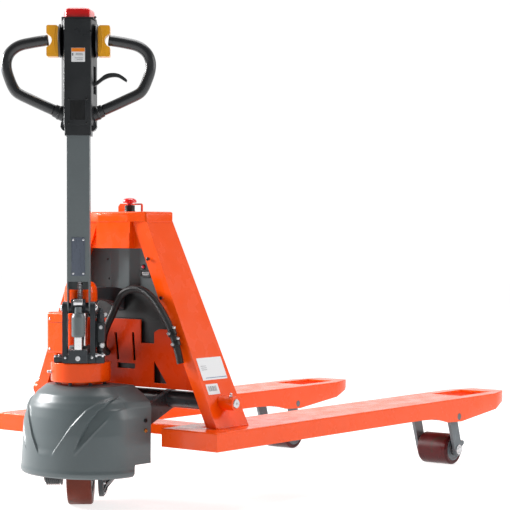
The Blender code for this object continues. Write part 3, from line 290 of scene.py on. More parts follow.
def prism(outline, depth, holes=()):
    """A flat outline in XY, with holes, thickened from z = 0 to depth."""
    curve = bpy.data.curves.new("outline", "CURVE")
    curve.dimensions = "2D"
    curve.fill_mode = "BOTH"
    curve.extrude = depth / 2
    for path in (outline, *holes):
        spline = curve.splines.new("POLY")
        spline.points.add(len(path) - 1)
        for point, (a, b) in zip(spline.points, path):
            point.co = (a, b, 0, 1)
        spline.use_cyclic_u = True
    source = bpy.data.objects.new("outline", curve)
    bpy.context.scene.collection.objects.link(source)
    mesh = bpy.data.meshes.new_from_object(source.evaluated_get(bpy.context.evaluated_depsgraph_get()))
    bpy.data.objects.remove(source)
    bm = bmesh.new()
    bm.from_mesh(mesh)
    bpy.data.meshes.remove(mesh)
    bmesh.ops.translate(bm, verts=bm.verts, vec=(0, 0, depth / 2))
    weld(bm, 1e-5)
    bmesh.ops.dissolve_limit(bm, angle_limit=math.radians(0.5), verts=bm.verts, edges=bm.edges)
    return bm


def block(low, high):
    bm = bmesh.new()
    low, high = Vector(low), Vector(high)
    size = Matrix.Diagonal((*(high - low), 1))
    bmesh.ops.create_cube(bm, matrix=Matrix.Translation((low + high) / 2) @ size)
    return bm


def rounded_rectangle(half_a, half_b, radius, centre=(0, 0), steps=5):
    a, b = centre
    corners = [(a - half_a, b - half_b), (a + half_a, b - half_b), (a + half_a, b + half_b),
               (a - half_a, b + half_b)]
    return fillet(corners, radius, steps)


def circle(a, b, radius, count=32):
    return [(a + radius * math.cos(2 * math.pi * i / count), b + radius * math.sin(2 * math.pi * i / count))
            for i in range(count)]


def link_outline(a, b, radius_a, radius_b, count=20):
    """Outline of a flat link with round ends of two radii, by its two outer tangents."""
    heading = math.atan2(b[1] - a[1], b[0] - a[0])
    spread = math.acos((radius_a - radius_b) / math.dist(a, b))

    def arc(centre, radius, start, end):
        turns = [start + (end - start) * i / (count - 1) for i in range(count)]
        return [(centre[0] + radius * math.cos(t), centre[1] + radius * math.sin(t)) for t in turns]

    return arc(b, radius_b, heading - spread, heading + spread) + arc(a, radius_a, heading + spread,
                                                                      heading + 2 * math.pi - spread)


def spline_points(control, per_span):
    """Points of a smooth Catmull-Rom curve through the control points."""
    points = [Vector(p) for p in control]
    points = [2 * points[0] - points[1], *points, 2 * points[-1] - points[-2]]
    out = []
    for p0, p1, p2, p3 in zip(points, points[1:], points[2:], points[3:]):
        for step in range(per_span):
            t = step / per_span
            out.append(0.5 * (2 * p1 + (p2 - p0) * t + (2 * p0 - 5 * p1 + 4 * p2 - p3) * t ** 2
                              + (3 * p1 - p0 - 3 * p2 + p3) * t ** 3))
    return [*out, points[-2]]


def resampled(points, spacing):
    """The same path with points a fixed distance apart."""
    lengths = [(b - a).length for a, b in zip(points, points[1:])]
    total = sum(lengths)
    count = max(2, round(total / spacing))
    out, index, passed = [], 0, 0.0
    for step in range(count + 1):
        target = total * step / count
        while index < len(lengths) - 1 and passed + lengths[index] < target:
            passed += lengths[index]
            index += 1
        share = (target - passed) / lengths[index] if lengths[index] else 0.0
        out.append(points[index].lerp(points[index + 1], min(1.0, share)))
    return out


def sweep(points, radius, sides=24, round_ends=(False, False)):
    """A round bar along points; radius is a number or a function of the distance run."""
    size = radius if callable(radius) else (lambda run: radius)
    tangents = [(b - a).normalized() for a, b in zip(points, points[1:])]
    tangents = [tangents[0], *[(a + b).normalized() for a, b in zip(tangents, tangents[1:])], tangents[-1]]
    side = tangents[0].orthogonal().normalized()
    run, rings = 0.0, []
    for index, (point, tangent) in enumerate(zip(points, tangents)):
        if index:
            run += (point - points[index - 1]).length
            side = (side - tangent * side.dot(tangent)).normalized()
        other = tangent.cross(side)
        rings.append((point, side, other, tangent, size(run)))

    def circle_at(centre, u, v, r):
        turns = [2 * math.pi * i / sides for i in range(sides)]
        return [centre + u * r * math.cos(a) + v * r * math.sin(a) for a in turns]

    rows = [circle_at(c, u, v, r) for c, u, v, _, r in rings]
    for at_end in (0, 1):
        if not round_ends[at_end]:
            continue
        centre, u, v, tangent, r = rings[-at_end]
        outward = tangent if at_end else -tangent
        dome = [circle_at(centre + outward * r * 0.45 * math.sin(a), u, v, r * math.cos(a))
                for a in [math.radians(d) for d in (20, 40, 60, 78)]]
        rows = rows + dome if at_end else dome[::-1] + rows
    return loft(rows)


def rod(start, end, radius, sides=48, chamfer=0.0008):
    start, end = Vector(start), Vector(end)
    length = (end - start).length
    profile = [(0, 0), (radius - chamfer, 0), (radius, chamfer), (radius, length - chamfer),
               (radius - chamfer, length), (0, length)]
    return moved(lathe(profile, sides), stand(start, end - start))


def cross_rod(x, z, y0, y1, *size):
    """Rod along Y at (x, z)."""
    return rod((x, y0, z), (x, y1, z), *size)


def stand(origin, direction):
    """Matrix that stands +Z along the direction, with its origin at a point."""
    turn = Z.rotation_difference(Vector(direction).normalized()).to_matrix().to_4x4()
    return Matrix.Translation(origin) @ turn


def plane(origin, u, v):
    """Matrix that lays X and Y along u and v at a point."""
    u, v = Vector(u).normalized(), Vector(v).normalized()
    matrix = Matrix((u, v, u.cross(v))).transposed().to_4x4()
    matrix.translation = Vector(origin)
    return matrix


def moved(bm, matrix):
    bmesh.ops.transform(bm, matrix=matrix, verts=bm.verts)
    if matrix.determinant() < 0:
        bmesh.ops.reverse_faces(bm, faces=bm.faces)
    return bm


def gathered(parts):
    """Several separate solids in one mesh."""
    bm = bmesh.new()
    for part in parts:
        mesh = bpy.data.meshes.new("part")
        part.to_mesh(mesh)
        part.free()
        bm.from_mesh(mesh)
        bpy.data.meshes.remove(mesh)
    return bm


def raised(bm, z):
    return moved(bm, Matrix.Translation((0, 0, z)))


def slab_x(outline, depth, x):
    """A (y, z) outline thickened towards +X from a height on X."""
    return moved(prism(outline, depth), plane((x, 0, 0), Y, Z))


def slab_y(outline, depth, y, holes=()):
    """An (x, z) outline thickened towards -Y from a place on Y."""
    return moved(prism(outline, depth, holes), plane((0, y, 0), X, Z))


def around(degrees, radius, height=0.0):
    """Points on a circle about Z."""
    return [(radius * math.cos(a), radius * math.sin(a), height) for a in map(math.radians, degrees)]


def temporary(bm):
    mesh = bpy.data.meshes.new("work")
    bm.to_mesh(mesh)
    bm.free()
    obj = bpy.data.objects.new("work", mesh)
    bpy.context.scene.collection.objects.link(obj)
    return obj


def settled(obj):
    """The object's mesh with its modifiers applied; the object is removed."""
    graph = bpy.context.evaluated_depsgraph_get()
    mesh = bpy.data.meshes.new_from_object(obj.evaluated_get(graph), preserve_all_data_layers=True,
                                           depsgraph=graph)
    bpy.data.objects.remove(obj)
    return mesh


def boolean(bm, operation, tools):
    base = temporary(bm)
    others = [temporary(tool) for tool in tools]
    for tool in others:
        step = base.modifiers.new("boolean", "BOOLEAN")
        step.operation = operation
        step.solver = "EXACT"
        step.object = tool
    mesh = settled(base)
    for tool in others:
        bpy.data.objects.remove(tool)
    out = bmesh.new()
    out.from_mesh(mesh)
    bpy.data.meshes.remove(mesh)
    return out


def cut(bm, *tools):
    return boolean(bm, "DIFFERENCE", tools)


def fused(bm, *tools):
    return boolean(bm, "UNION", tools)


def node_copy(node, space):
    """A CAD node's shape as clean faces, in the given frame."""
    bm = bmesh.new()
    bm.from_mesh(frame["nodes"][node].data)
    weld(bm, 1e-5)
    bmesh.ops.dissolve_limit(bm, angle_limit=math.radians(0.6), verts=bm.verts, edges=bm.edges)
    bmesh.ops.connect_verts_concave(bm, faces=bm.faces)
    return moved(bm, space.inverted())


def fold(bm, radius, chosen, segments=5):
    """Round the sharp edges whose two ends the test accepts, as a press brake does."""
    edges = [e for e in bm.edges if e.is_manifold and e.calc_face_angle() > math.radians(40)
             and all(chosen(v.co) for v in e.verts)]
    bmesh.ops.bevel(bm, geom=edges, offset=radius, segments=segments, profile=0.5, affect="EDGES",
                    clamp_overlap=True)
    return bm


def add(name, bm, body, look, space=TRUCK, nodes=(), bevel=0.0, segments=2, angle=34, sharp=34):
    """Finish a shape as a visible piece that rides on a CAD body."""
    obj = temporary(bm)
    if bevel:
        step = obj.modifiers.new("edges", "BEVEL")
        step.width = bevel
        step.segments = segments
        step.limit_method = "ANGLE"
        step.angle_limit = math.radians(angle)
        step.miter_outer = "MITER_ARC"
        step.harden_normals = False
    mesh = settled(obj)
    mesh.name = name
    mesh.transform(space)
    mesh.materials.clear()
    mesh.materials.append(look.material)
    mesh.shade_smooth()
    mesh.set_sharp_from_angle(angle=math.radians(sharp))
    piece = bpy.data.objects.new(name, mesh)
    bpy.context.scene.collection.objects.link(piece)
    smooth = piece.modifiers.new("flat faces stay flat", "WEIGHTED_NORMAL")
    smooth.keep_sharp = True
    smooth.weight = 80
    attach(piece, body)
    if nodes:
        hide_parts(*nodes)


def refine(node, look, space=TRUCK, bevel=0.0006, segments=2, folds=()):
    """A CAD node's shape again, with pressed bends and broken edges."""
    bm = node_copy(node, space)
    for radius, chosen in folds:
        fold(bm, radius, chosen)
    add(node + "_finished", bm, BODY_OF[node], look, space, [node], bevel, segments)


# Hardware, standing on z = 0 with its head up -----------------------------------------------------
def capped(profile, sides):
    """Turn (radius, height) points that end on the axis, with a flat face at the start."""
    return loft([ring(r, h, sides) for r, h in profile], caps=(True, False))


def hex_bolt(flats, height, washer=True, shank=0.004):
    """Hexagon head with a chamfered crown, and a washer under it."""
    base = 0.0012 if washer else 0.0
    profile = [(flats * 0.3, -shank)]
    if washer:
        profile += [(flats * 0.3, 0), (flats * 0.62, 0), (flats * 0.64, base * 0.3),
                    (flats * 0.64, base * 0.8), (flats * 0.62, base)]
    profile += [(hexagon(flats * 0.985), base), (hexagon(flats), base + height * 0.06),
                (hexagon(flats), base + height * 0.82), (flats * 0.475, base + height), (0, base + height)]
    return capped(profile, 48)


def socket_screw(radius, height):
    """Cap screw with a hexagon socket."""
    six = hexagon(radius)
    profile = [(radius * 0.6, -0.003), (radius * 0.6, 0), (radius, 0), (radius, height * 0.88),
               (radius * 0.93, height), (radius * 0.62, height), (six, height * 0.94), (six, height * 0.35),
               (0, height * 0.30)]
    return capped(profile, 48)


def pan_screw(radius):
    """Domed screw head with a small star drive."""
    def star(angle):
        return radius * (0.36 + 0.06 * math.cos(6 * angle))
    return capped([(radius * 0.6, -0.002), (radius * 0.6, 0), (radius, 0), (radius * 0.97, radius * 0.22),
                   (radius * 0.80, radius * 0.42), (radius * 0.52, radius * 0.53), (star, radius * 0.54),
                   (star, radius * 0.22), (0, radius * 0.18)], 48)


def rivet(radius):
    dome = [(radius * math.cos(a), radius * 0.55 * math.sin(a)) for a in map(math.radians, range(0, 91, 18))]
    return capped([(radius * 0.6, -0.002), (radius * 0.6, 0), *dome], 32)


def grease_nipple():
    six = hexagon(0.0070)
    profile = [(0.0024, -0.003), (0.0024, 0.0), (six, 0.0), (six, 0.0034), (0.0024, 0.0038), (0.0022, 0.0060),
               (0.0030, 0.0070), (0.0031, 0.0084), (0.0018, 0.0097), (0.0008, 0.0098), (0, 0.0090)]
    return capped(profile, 36)


def thread(radius, length, pitch, sides=28):
    """A threaded length from z = 0 up, as a wavy turned profile with a helix twist."""
    per_turn = 6
    rows = []
    for step in range(round(length / pitch * per_turn) + 1):
        height = min(length, step * pitch / per_turn)

        def depth(angle, height=height):
            phase = height / pitch - angle / (2 * math.pi)
            return radius - 0.30 * pitch * (0.5 - 0.5 * math.cos(2 * math.pi * phase))
        rows.append(ring(depth, height, sides))
    return loft(rows)


def weld_bead(points, radius, seed):
    """A rippled bead along a path."""
    draw = random.Random(seed)
    path = resampled([Vector(p) for p in points], BEAD_STEP)
    ripple = [1 + 0.10 * math.sin(2 * math.pi * i / 3.0) + draw.uniform(-0.05, 0.05)
              for i in range(len(path) + 1)]
    return sweep(path, lambda run: radius * ripple[min(len(path), round(run / BEAD_STEP))], 12, (True, True))


def round_bead(x, y, z, turn_radius, degrees, radius, seed):
    """A bead round a pivot that runs along Y."""
    turns = [math.radians(d) for d in degrees]
    return weld_bead([(x + turn_radius * math.cos(a), y, z + turn_radius * math.sin(a)) for a in turns],
                     radius, seed)


def coil(radius, wire, turns, height, per_turn=24):
    """Open helical spring from z = 0 to the height."""
    count = round(turns * per_turn)
    angles = [2 * math.pi * i / per_turn for i in range(count + 1)]
    points = [Vector((radius * math.cos(a), radius * math.sin(a), height * i / count))
              for i, a in enumerate(angles)]
    return sweep(points, wire, 10)


def on_axis(bm, origin, direction):
    return moved(bm, stand(origin, direction))


# Chassis ----------------------------------------------------------------------------------------
def forks():
    for sign, side in SIDES:
        def long_bend(co, sign=sign):
            return abs(co.z - FORK_TOP) < 0.0004 and abs(abs(co.y - sign * FORK_Y) - FORK_HALF) < 0.026

        refine("fork_" + side, ORANGE, bevel=0.0007, folds=[(0.0030, long_bend)])
        refine("side_frame_" + side, ORANGE, bevel=0.0008, folds=[(0.0032, frame_bend)])
        pin_end = sign * 0.3135
        pin = cross_rod(ROCKER_X, ROCKER_Z, sign * 0.2150, pin_end, 0.0105, 64, 0.0012)
        dimple = on_axis(lathe([(0, -0.001), (0.0028, -0.001), (0.0005, 0.003), (0, 0.003)], 32),
                         (ROCKER_X, pin_end, ROCKER_Z), Y * -sign)
        add("rocker_pin_end_" + side, cut(pin, dimple), "chassis", STEEL, nodes=["rocker_pin_" + side])
        nipple = on_axis(grease_nipple(), (ROCKER_X - 0.004, sign * 0.2990, ROCKER_Z + 0.0142),
                         (-0.25, sign * 0.35, 1))
        add("rocker_grease_nipple_" + side, nipple, "chassis", ZINC)
        yc = sign * FORK_Y
        pivot = cross_rod(BRACKET_X, BRACKET_Z, yc - FORK_HALF, yc + FORK_HALF, 0.0085, 48, 0.001)
        add("bracket_pin_end_" + side, pivot, "chassis", BRACKET, nodes=["bracket_pin_" + side])
        foot = sign * (FRAME_BASE_Y + 0.0002)
        bead = weld_bead([(0.125, foot, 0.1782), (0.229, foot, 0.1782)], 0.0022, 11 + sign)
        inner = sign * (FORK_Y - 0.082)
        beam = weld_bead([(0.174, inner, 0.1712), (0.246, inner, 0.1712)], 0.0020, 21 + sign)
        screws = [on_axis(pan_screw(0.0042), flange_point(sign, z, 0.030), -X) for z in (0.461, 0.548)]
        add("frame_welds_" + side, gathered([bead, beam]), "chassis", ORANGE)
        add("flange_screws_" + side, gathered(screws), "chassis", BLACK)


def frame_outer(z):
    """Outer |y| of a side frame at height z."""
    return FRAME_BASE_Y - FRAME_LEAN * (z - FORK_TOP)


def frame_bend(co):
    """The long outer bend between a side plate and its front flange."""
    return co.x < 0.1235 and abs(abs(co.y) - frame_outer(co.z)) < 0.0025 and co.z > 0.176


def flange_point(sign, z, inset):
    return (0.1219 - 0.0253 * (z - FORK_TOP) - 0.0052, sign * (frame_outer(z) - inset), z)


def side_labels():
    """Blank rating label and bar label on the right side plate."""
    lean = Vector((0, FRAME_LEAN, 1))
    base = Vector((0, -FRAME_BASE_Y, FORK_TOP + 0.0003))
    face = plane(base, X, lean)
    slope = lean.length

    def patch(x0, x1, z0, z1, lift, thick, radius):
        s0, s1 = (z0 - base.z) * slope, (z1 - base.z) * slope
        centre = ((x0 + x1) / 2, (s0 + s1) / 2)
        shape = prism(rounded_rectangle((x1 - x0) / 2, (s1 - s0) / 2, radius, centre), thick)
        return moved(shape, face @ Matrix.Translation((0, 0, lift)))

    def mark(x0, x1, z0, z1, radius=0.0002):
        return patch(x0, x1, z0, z1, PAPER_THICK, 0.0002, radius)

    paper = [patch(0.1285, 0.2120, 0.2810, 0.3290, 0.0, PAPER_THICK, 0.002),
             patch(0.1315, 0.1715, 0.2500, 0.2725, 0.0, PAPER_THICK, 0.001)]
    add("side_labels", gathered(paper), "chassis", PAPER)
    bar_widths = (0.0009, 0.0016, 0.0007, 0.0018, 0.0008, 0.0012, 0.0018, 0.0007, 0.0015, 0.0009, 0.0016)
    bars = []
    for i, width in enumerate(bar_widths):
        start = 0.1365 + i * 0.0026
        bars.append(mark(start, start + width, 0.2570, 0.2680))
    bars += [mark(0.1350, 0.1530, z, z + 0.0008) for z in (0.3110, 0.3070, 0.3030)]
    add("side_label_bars", gathered(bars), "chassis", PRINT)
    add("side_label_rule", mark(0.1400, 0.2110, 0.2850, 0.2862, 0.0003), "chassis", BLUE)


def crown():
    """Head plate with its large front bend, its skirt with a raised brow, and the stop button's guard."""
    half = frame_outer(FRAME_TOP) + 0.0005
    low = FRAME_TOP + 0.0003
    rear, front = 0.200, 0.102
    plan = fillet([(rear, -half), (rear, half), (0.1104, half), (front, 0.045), (front, -0.045),
                   (0.1104, -half)], [0.003, 0.003, 0.006, 0.020, 0.020, 0.006], 5)
    cap = raised(prism(plan, CROWN_TOP - low), low)
    bend = fillet([(rear, low), (rear, CROWN_TOP), (front, CROWN_TOP), (front, low)],
                  [0.001, 0.004, 0.017, 0.001], 9)
    ends = fillet([(-half, low), (half, low), (half, CROWN_TOP), (-half, CROWN_TOP)],
                  [0.001, 0.001, 0.008, 0.008], 6)
    cap = boolean(cap, "INTERSECT", [slab_y(bend, 3 * half, 1.5 * half)])
    cap = boolean(cap, "INTERSECT", [slab_x(ends, 0.2, 0.05)])
    skirt_half = frame_outer(FRAME_TOP) - 0.006
    skirt = [(-0.0525, 0.5715), (0.0525, 0.5715), (0.0525, 0.634), (-0.0525, 0.634)]
    lower = [(-0.088, 0.5715), (0.088, 0.5715), (skirt_half, 0.6316), (-skirt_half, 0.6316)]
    brow = fillet([(-0.0515, 0.5725), (0.030, 0.5725), (0.044, 0.586), (0.050, 0.607), (-0.0515, 0.607)],
                  0.004)
    foot = CROWN_TOP - 0.003
    strap = [(-0.0225, foot), (-0.0195, foot), (-0.0195, 0.671), (0.022, 0.671), (0.022, foot), (0.052, foot),
             (0.052, 0.668), (0.046, 0.6745), (-0.0195, 0.6745), (-0.0225, 0.6715)]
    pieces = [slab_x(skirt, 0.0155, 0.1040), slab_x(lower, 0.004, 0.1175), slab_x(brow, 0.0030, 0.1025),
              slab_x(strap, 0.004, 0.1765)]
    stem_hole = rod((STOP_X, 0, 0.62), (STOP_X, 0, 0.70), 0.0075, 40)
    add("crown_pressed", cut(fused(cap, *pieces), stem_hole), "chassis", ORANGE, nodes=["crown"],
        bevel=0.0009, angle=45)
    refine("back_plate", ORANGE, bevel=0.0007)
    refine("cross_beam", ORANGE, bevel=0.0008)
    refine("battery", BLACK, bevel=0.003)
    for sign, side in SIDES:
        edge = sign * (frame_outer(FRAME_TOP) + 0.0002)
        seam = weld_bead([(0.1140, edge, FRAME_TOP), (0.1985, edge, FRAME_TOP)], 0.0010, 31 + sign)
        add("crown_seam_" + side, seam, "chassis", ORANGE)


def bent_cover():
    """Folded grey cover in front of the battery, with its screws."""
    front = fillet([(0.166, -0.20), (0.166, -0.026), (0.152, -0.006), (0.152, 0.028), (0.160, 0.060),
                    (0.160, 0.20)], 0.010, 6, False)
    back = [(x + 0.0025, y) for x, y in reversed(front)]
    sheet = raised(prism(front + back, 0.1709), 0.4000)
    low, high = 0.395, 0.5709
    low_half, high_half = frame_outer(low) - 0.007, frame_outer(high) - 0.007
    trim = slab_x([(-low_half, low), (low_half, low), (high_half, high), (-high_half, high)], 0.06, 0.14)
    add("battery_cover_folded", boolean(sheet, "INTERSECT", [trim]), "chassis", COVER,
        nodes=["battery_cover"], bevel=0.0005)
    screws = [on_axis(pan_screw(0.0026), spot, -X)
              for spot in ((0.1600, 0.070, 0.545), (0.1600, 0.086, 0.430), (0.1660, -0.075, 0.545),
                           (0.1600, 0.0655, 0.500))]
    add("battery_cover_screws", gathered(screws), "chassis", BLACK)

    bezel = lathe([(0.0042, 0.0), (0.0058, 0.0), (0.0058, 0.0014), (0.0050, 0.0022), (0.0042, 0.0020)], 40)
    add("status_lamp_bezel", on_axis(bezel, (0.1658, LAMP_Y, LAMP_Z), -X), "chassis", BLACK)
    dome = lathe([(0, 0.0), (0.0040, 0.0), (0.0040, 0.0020), (0.0034, 0.0036), (0.0020, 0.0044), (0, 0.0047)],
                 40)
    add("status_lamp_lens", on_axis(dome, (0.1657, LAMP_Y, LAMP_Z), -X), "chassis", LENS,
        nodes=["status_lamp"])

    def tile(half_a, half_b, radius, thick, x, y, z):
        return moved(prism(rounded_rectangle(half_a, half_b, radius), thick), plane((x, y, z), -Y, Z))

    body = tile(0.0155, 0.0085, 0.0022, 0.0035, 0.1657, GAUGE_Y, GAUGE_Z)
    screen = tile(0.0125, 0.0058, 0.0012, 0.0012, 0.1630, GAUGE_Y, GAUGE_Z)
    add("charge_gauge_case", cut(body, screen), "chassis", BLACK, nodes=["charge_gauge"], bevel=0.0005)
    marks = [tile(0.0010, 0.0018, 0.0004, 0.0004, 0.1632, -0.0370 - 0.0038 * i, 0.5150) for i in range(6)]
    marks.append(tile(0.0095, 0.0007, 0.0003, 0.0004, 0.1632, GAUGE_Y, 0.5105))
    add("charge_gauge_marks", gathered(marks), "chassis", PAPER)


def lower_front():
    """Front panel in a darker orange as painted shade, a black sheet behind its slots as painted shade, the
    arched guard and the charger box.
    """
    # The front panel takes the darker orange copy as painted shade.
    refine("front_panel", PAINTED_SHADE_ORANGE, bevel=0.0006)
    # A black sheet behind the panel's slots stands in for the shaded interior: painted shade.
    low, high = 0.262, 0.412
    low_half, high_half = frame_outer(low) - 0.012, frame_outer(high) - 0.012
    shade_sheet = slab_x([(low_half, low), (high_half, high), (-high_half, high), (-low_half, low)], 0.003,
                     0.1345)
    add("inner_bay_shade_sheet", shade_sheet, "chassis", BLACK, bevel=0.0005)

    guard = node_copy("pump_guard", TRUCK)
    add("pump_guard_moulding", guard, "chassis", BLACK, nodes=["pump_guard"], bevel=0.0022, segments=3,
        angle=50)
    box_centre = (0.0927, 0.1415)
    box = raised(prism(rounded_rectangle(0.02270, 0.0415, 0.010, box_centre, 8), 0.096), 0.326)
    add("charger_box_case", box, "chassis", ORANGE, nodes=["charger_box"], bevel=0.006, segments=6,
        angle=60, sharp=60)
    seam = raised(prism(rounded_rectangle(0.0230, 0.0418, 0.0103, box_centre, 8), 0.0008), 0.3980)
    add("charger_box_seal", seam, "chassis", BLACK)
    screws = [on_axis(pan_screw(0.0030), (0.0700, y, z), -X) for y in (0.112, 0.171) for z in (0.336, 0.406)]
    add("charger_box_screws", gathered(screws), "chassis", ZINC)


def stop_button():
    base = (STOP_X, 0, CROWN_TOP + 0.0003)
    collar = [(0.0078, 0.0150), (0.0078, 0.0), (0.0124, 0.0), (0.0125, 0.0012), (0.0122, 0.0030),
              (0.0116, 0.0036), (0.0120, 0.0138), (0.0112, 0.0150)]
    add("estop_collar_ring", on_axis(lathe(collar), base, Z), "chassis", BLACK, nodes=["estop_collar"])

    def lobed(radius):
        return lambda angle: radius * (1 + 0.018 * math.cos(12 * angle))
    profile = [(0, -0.010), (0.0068, -0.010), (0.0068, 0.0202), (lobed(0.0140), 0.0206),
               (lobed(0.0153), 0.0212), (lobed(0.0157), 0.0226), (lobed(0.0157), 0.0248), (0.0150, 0.0268),
               (0.0134, 0.0288), (0.0108, 0.0303), (0.0076, 0.0313), (0.0062, 0.0310), (0.0052, 0.0315),
               (0.0024, 0.0319), (0, 0.0320)]
    add("estop_mushroom", on_axis(lathe(profile, 72), base, Z), "estop_button", RED, nodes=["estop_button"],
        sharp=50)


def lift_parts():
    """Cup, arched arm and chromed ram of the lift."""
    outline = fillet([(0, 0.5025), (0.016, 0.5017), (0.028, 0.4965), (0.0350, 0.4870), (0.037, 0.4750),
                      (0.037, 0.4550), (0.0335, 0.4520), (0, 0.4520)], 0.0025, 3, False)
    cup = lathe(outline, 96)
    slot = raised(prism(rounded_rectangle(0.020, 0.0152, 0.003, (0.040, 0.005)), 0.06), 0.4555)
    add("lift_cup_finished", cut(cup, slot), "chassis", ORANGE, nodes=["lift_cup"], bevel=0.0008, angle=45)
    upper = spline_points([(0.0206, 0.480, 0), (0.050, 0.4835, 0), (0.100, 0.4835, 0), (0.1335, 0.478, 0)], 5)
    lower = spline_points([(0.1335, 0.428, 0), (0.100, 0.448, 0), (0.060, 0.4560, 0), (0.0206, 0.4560, 0)], 5)
    arm = slab_y([(p.x, p.y) for p in upper + lower], 0.030, 0.020)
    add("lift_arm_finished", arm, "chassis", ARM, nodes=["lift_arm"], bevel=0.004, segments=4, angle=50)
    ram = rod((0, 0, 0.306), (0, 0, 0.4517), 0.016, 72, 0.001)
    add("lift_ram_chromed", ram, "chassis", CHROME, nodes=["lift_ram"])


def conduit():
    """Corrugated cable conduit with its two clamps on the flange."""
    control = [(0.1218, 0.035, 0.330), (0.104, 0.031, 0.345), (0.092, 0.016, 0.377), (0.0905, -0.010, 0.420),
               (0.0905, -0.040, 0.466), (0.0905, -0.0775, 0.481), (0.0925, -0.112, 0.474),
               (0.096, -0.141, 0.450), (0.100, -0.168, 0.412), (0.1035, -0.187, 0.372),
               (0.105, -0.196, 0.345), (0.106, -0.203, 0.318)]
    path = resampled(spline_points(control, 12), 0.00055)

    def corrugated(run):
        return 0.0081 + 0.0005 * math.cos(2 * math.pi * run / 0.0033)
    add("harness_conduit", sweep(path, corrugated, 28), "chassis", BLACK, nodes=["harness"], sharp=80)
    straps, bolts = [], []
    outward = Vector((0, -0.35, 0.94)).normalized()
    for start, end in (((0.1020, -0.1795, 0.3885), (0.1030, -0.1835, 0.3795)),
                       ((0.1040, -0.1900, 0.3645), (0.1046, -0.1930, 0.3560))):
        start, end = Vector(start), Vector(end)
        length = (end - start).length
        band = lathe([(0.0088, 0), (0.0104, 0.0), (0.0108, 0.0006), (0.0108, length - 0.0006),
                      (0.0104, length), (0.0088, length)], 40)
        straps.append(on_axis(band, start, end - start))
        middle = (start + end) / 2
        ear = block((-0.0035, -0.0045, 0.0092), (0.0045, 0.0045, 0.0122))
        straps.append(on_axis(ear, middle, outward))
        bolts.append(on_axis(hex_bolt(0.0070, 0.0036), middle + outward * 0.0122 + X * 0.0005, outward))
        bolts.append(on_axis(hex_bolt(0.0060, 0.0030), middle + Vector((-0.0105, 0, 0)), -X))
    add("conduit_clamps", gathered(straps), "chassis", BLACK, bevel=0.0004)
    add("conduit_clamp_bolts", gathered(bolts), "chassis", ZINC)


# Lift linkage -----------------------------------------------------------------------------------
def linkage():
    """Rocker with its arms, feet and welds, and what it drives."""
    eye = (ROCKER_X - 0.1835 * 0.9214, ROCKER_Z - 0.1835 * 0.3886)
    lever = (ROCKER_X + 0.0188, ROCKER_Z - 0.0705)
    pivot = (ROCKER_X, ROCKER_Z)
    tube_half, arm_y = 0.2500, 0.116
    shapes, beads, bores = [], [], []
    for sign in (-1, 1):
        arm = link_outline(eye, pivot, 0.0225, 0.0215, 28)
        shapes.append(slab_y(arm, 0.012, sign * arm_y + 0.006, [circle(*eye, 0.018, 48)]))
        foot = link_outline(pivot, lever, 0.0190, 0.0105, 20)
        shapes.append(slab_y(foot, 0.0096, sign * (ROD_Y + 0.0002) + 0.0048))
        shapes.append(cross_rod(*lever, sign * (ROD_Y + 0.0045), sign * (ROD_Y - 0.016), 0.0050, 32))
        for face in (sign * arm_y - 0.0068, sign * arm_y + 0.0068):
            beads.append(round_bead(ROCKER_X, face, ROCKER_Z, 0.0203, range(-75, 80, 5), 0.0022, 41 + sign))
        bores.append(cross_rod(*pivot, sign * 0.20, sign * 0.26, 0.0108, 48))
    tube = cross_rod(*pivot, -tube_half, tube_half, 0.0195, 72)
    add("rocker_weldment", cut(fused(tube, *shapes), *bores), "rocker", ARM, nodes=["rocker"], bevel=0.0009,
        angle=50)
    add("rocker_welds", gathered(beads), "rocker", ARM)

    for sign, side in SIDES:
        refine("push_rod_" + side, ARM, bevel=0.0006)
        load_end(sign, side)


def load_end(sign, side):
    """Wheel bracket, its axle and the polyurethane roller."""
    body, yc = "load_bracket_" + side, sign * FORK_Y
    refine(body, BRACKET, bevel=0.0007)
    axle = cross_rod(LOAD_AXLE_X, LOAD_AXLE_Z, yc - 0.0625, yc + 0.0625, 0.008, 48, 0.0012)
    washer = [(0.0081, 0), (0.0126, 0), (0.0130, 0.0004), (0.0130, 0.0012), (0.0126, 0.0016),
              (0.0081, 0.0016)]
    rings = [on_axis(lathe(washer, 48), (LOAD_AXLE_X, yc + end * 0.0602, LOAD_AXLE_Z), Y * end)
             for end in (-1, 1)]
    add("roller_axle_end_" + side, gathered([axle, *rings]), body, STEEL, nodes=["roller_axle_" + side])
    beads = [round_bead(BRACKET_X, yc - out * 0.0518, BRACKET_Z, 0.0152, range(0, 360, 6), 0.0017, 51 + out)
             for out in (1, -1)]
    add("bracket_welds_" + side, gathered(beads), body, BRACKET)

    half, core_radius = 0.0450, 0.0295
    tread = fillet([(core_radius, -half + 0.0006), (LOAD_RADIUS - 0.0035, -half),
                    (LOAD_RADIUS, -half + 0.0045), (LOAD_RADIUS, half - 0.0045), (LOAD_RADIUS - 0.0035, half),
                    (core_radius, half - 0.0006)], 0.0018, 4)
    place = plane((LOAD_AXLE_X, yc, LOAD_AXLE_Z), X, Z)
    spin = "load_roller_" + side
    add(spin + "_tread", moved(lathe(tread, 96), place), spin, LOAD_TREAD, nodes=[spin], sharp=50)
    face = [(0.0083, 0.0012), (0.0118, 0.0012), (0.0122, 0.0004), (0.0165, 0.0004), (0.0170, 0.0014),
            (0.0250, 0.0016), (0.0258, 0.0006), (0.0294, 0.0006)]
    core = [(r, depth - half) for r, depth in face] + [(r, half - depth) for r, depth in reversed(face)]
    add(spin + "_core", moved(lathe(core, 80), place), spin, BRACKET)
    seal = [(0.0124, 0.0), (0.0163, 0.0), (0.0163, 0.0006), (0.0144, 0.0009), (0.0124, 0.0006)]
    seals = [on_axis(lathe(seal, 48), (LOAD_AXLE_X, yc + end * (half - 0.0006), LOAD_AXLE_Z), Y * end)
             for end in (-1, 1)]
    add(spin + "_seals", gathered(seals), spin, BLACK)


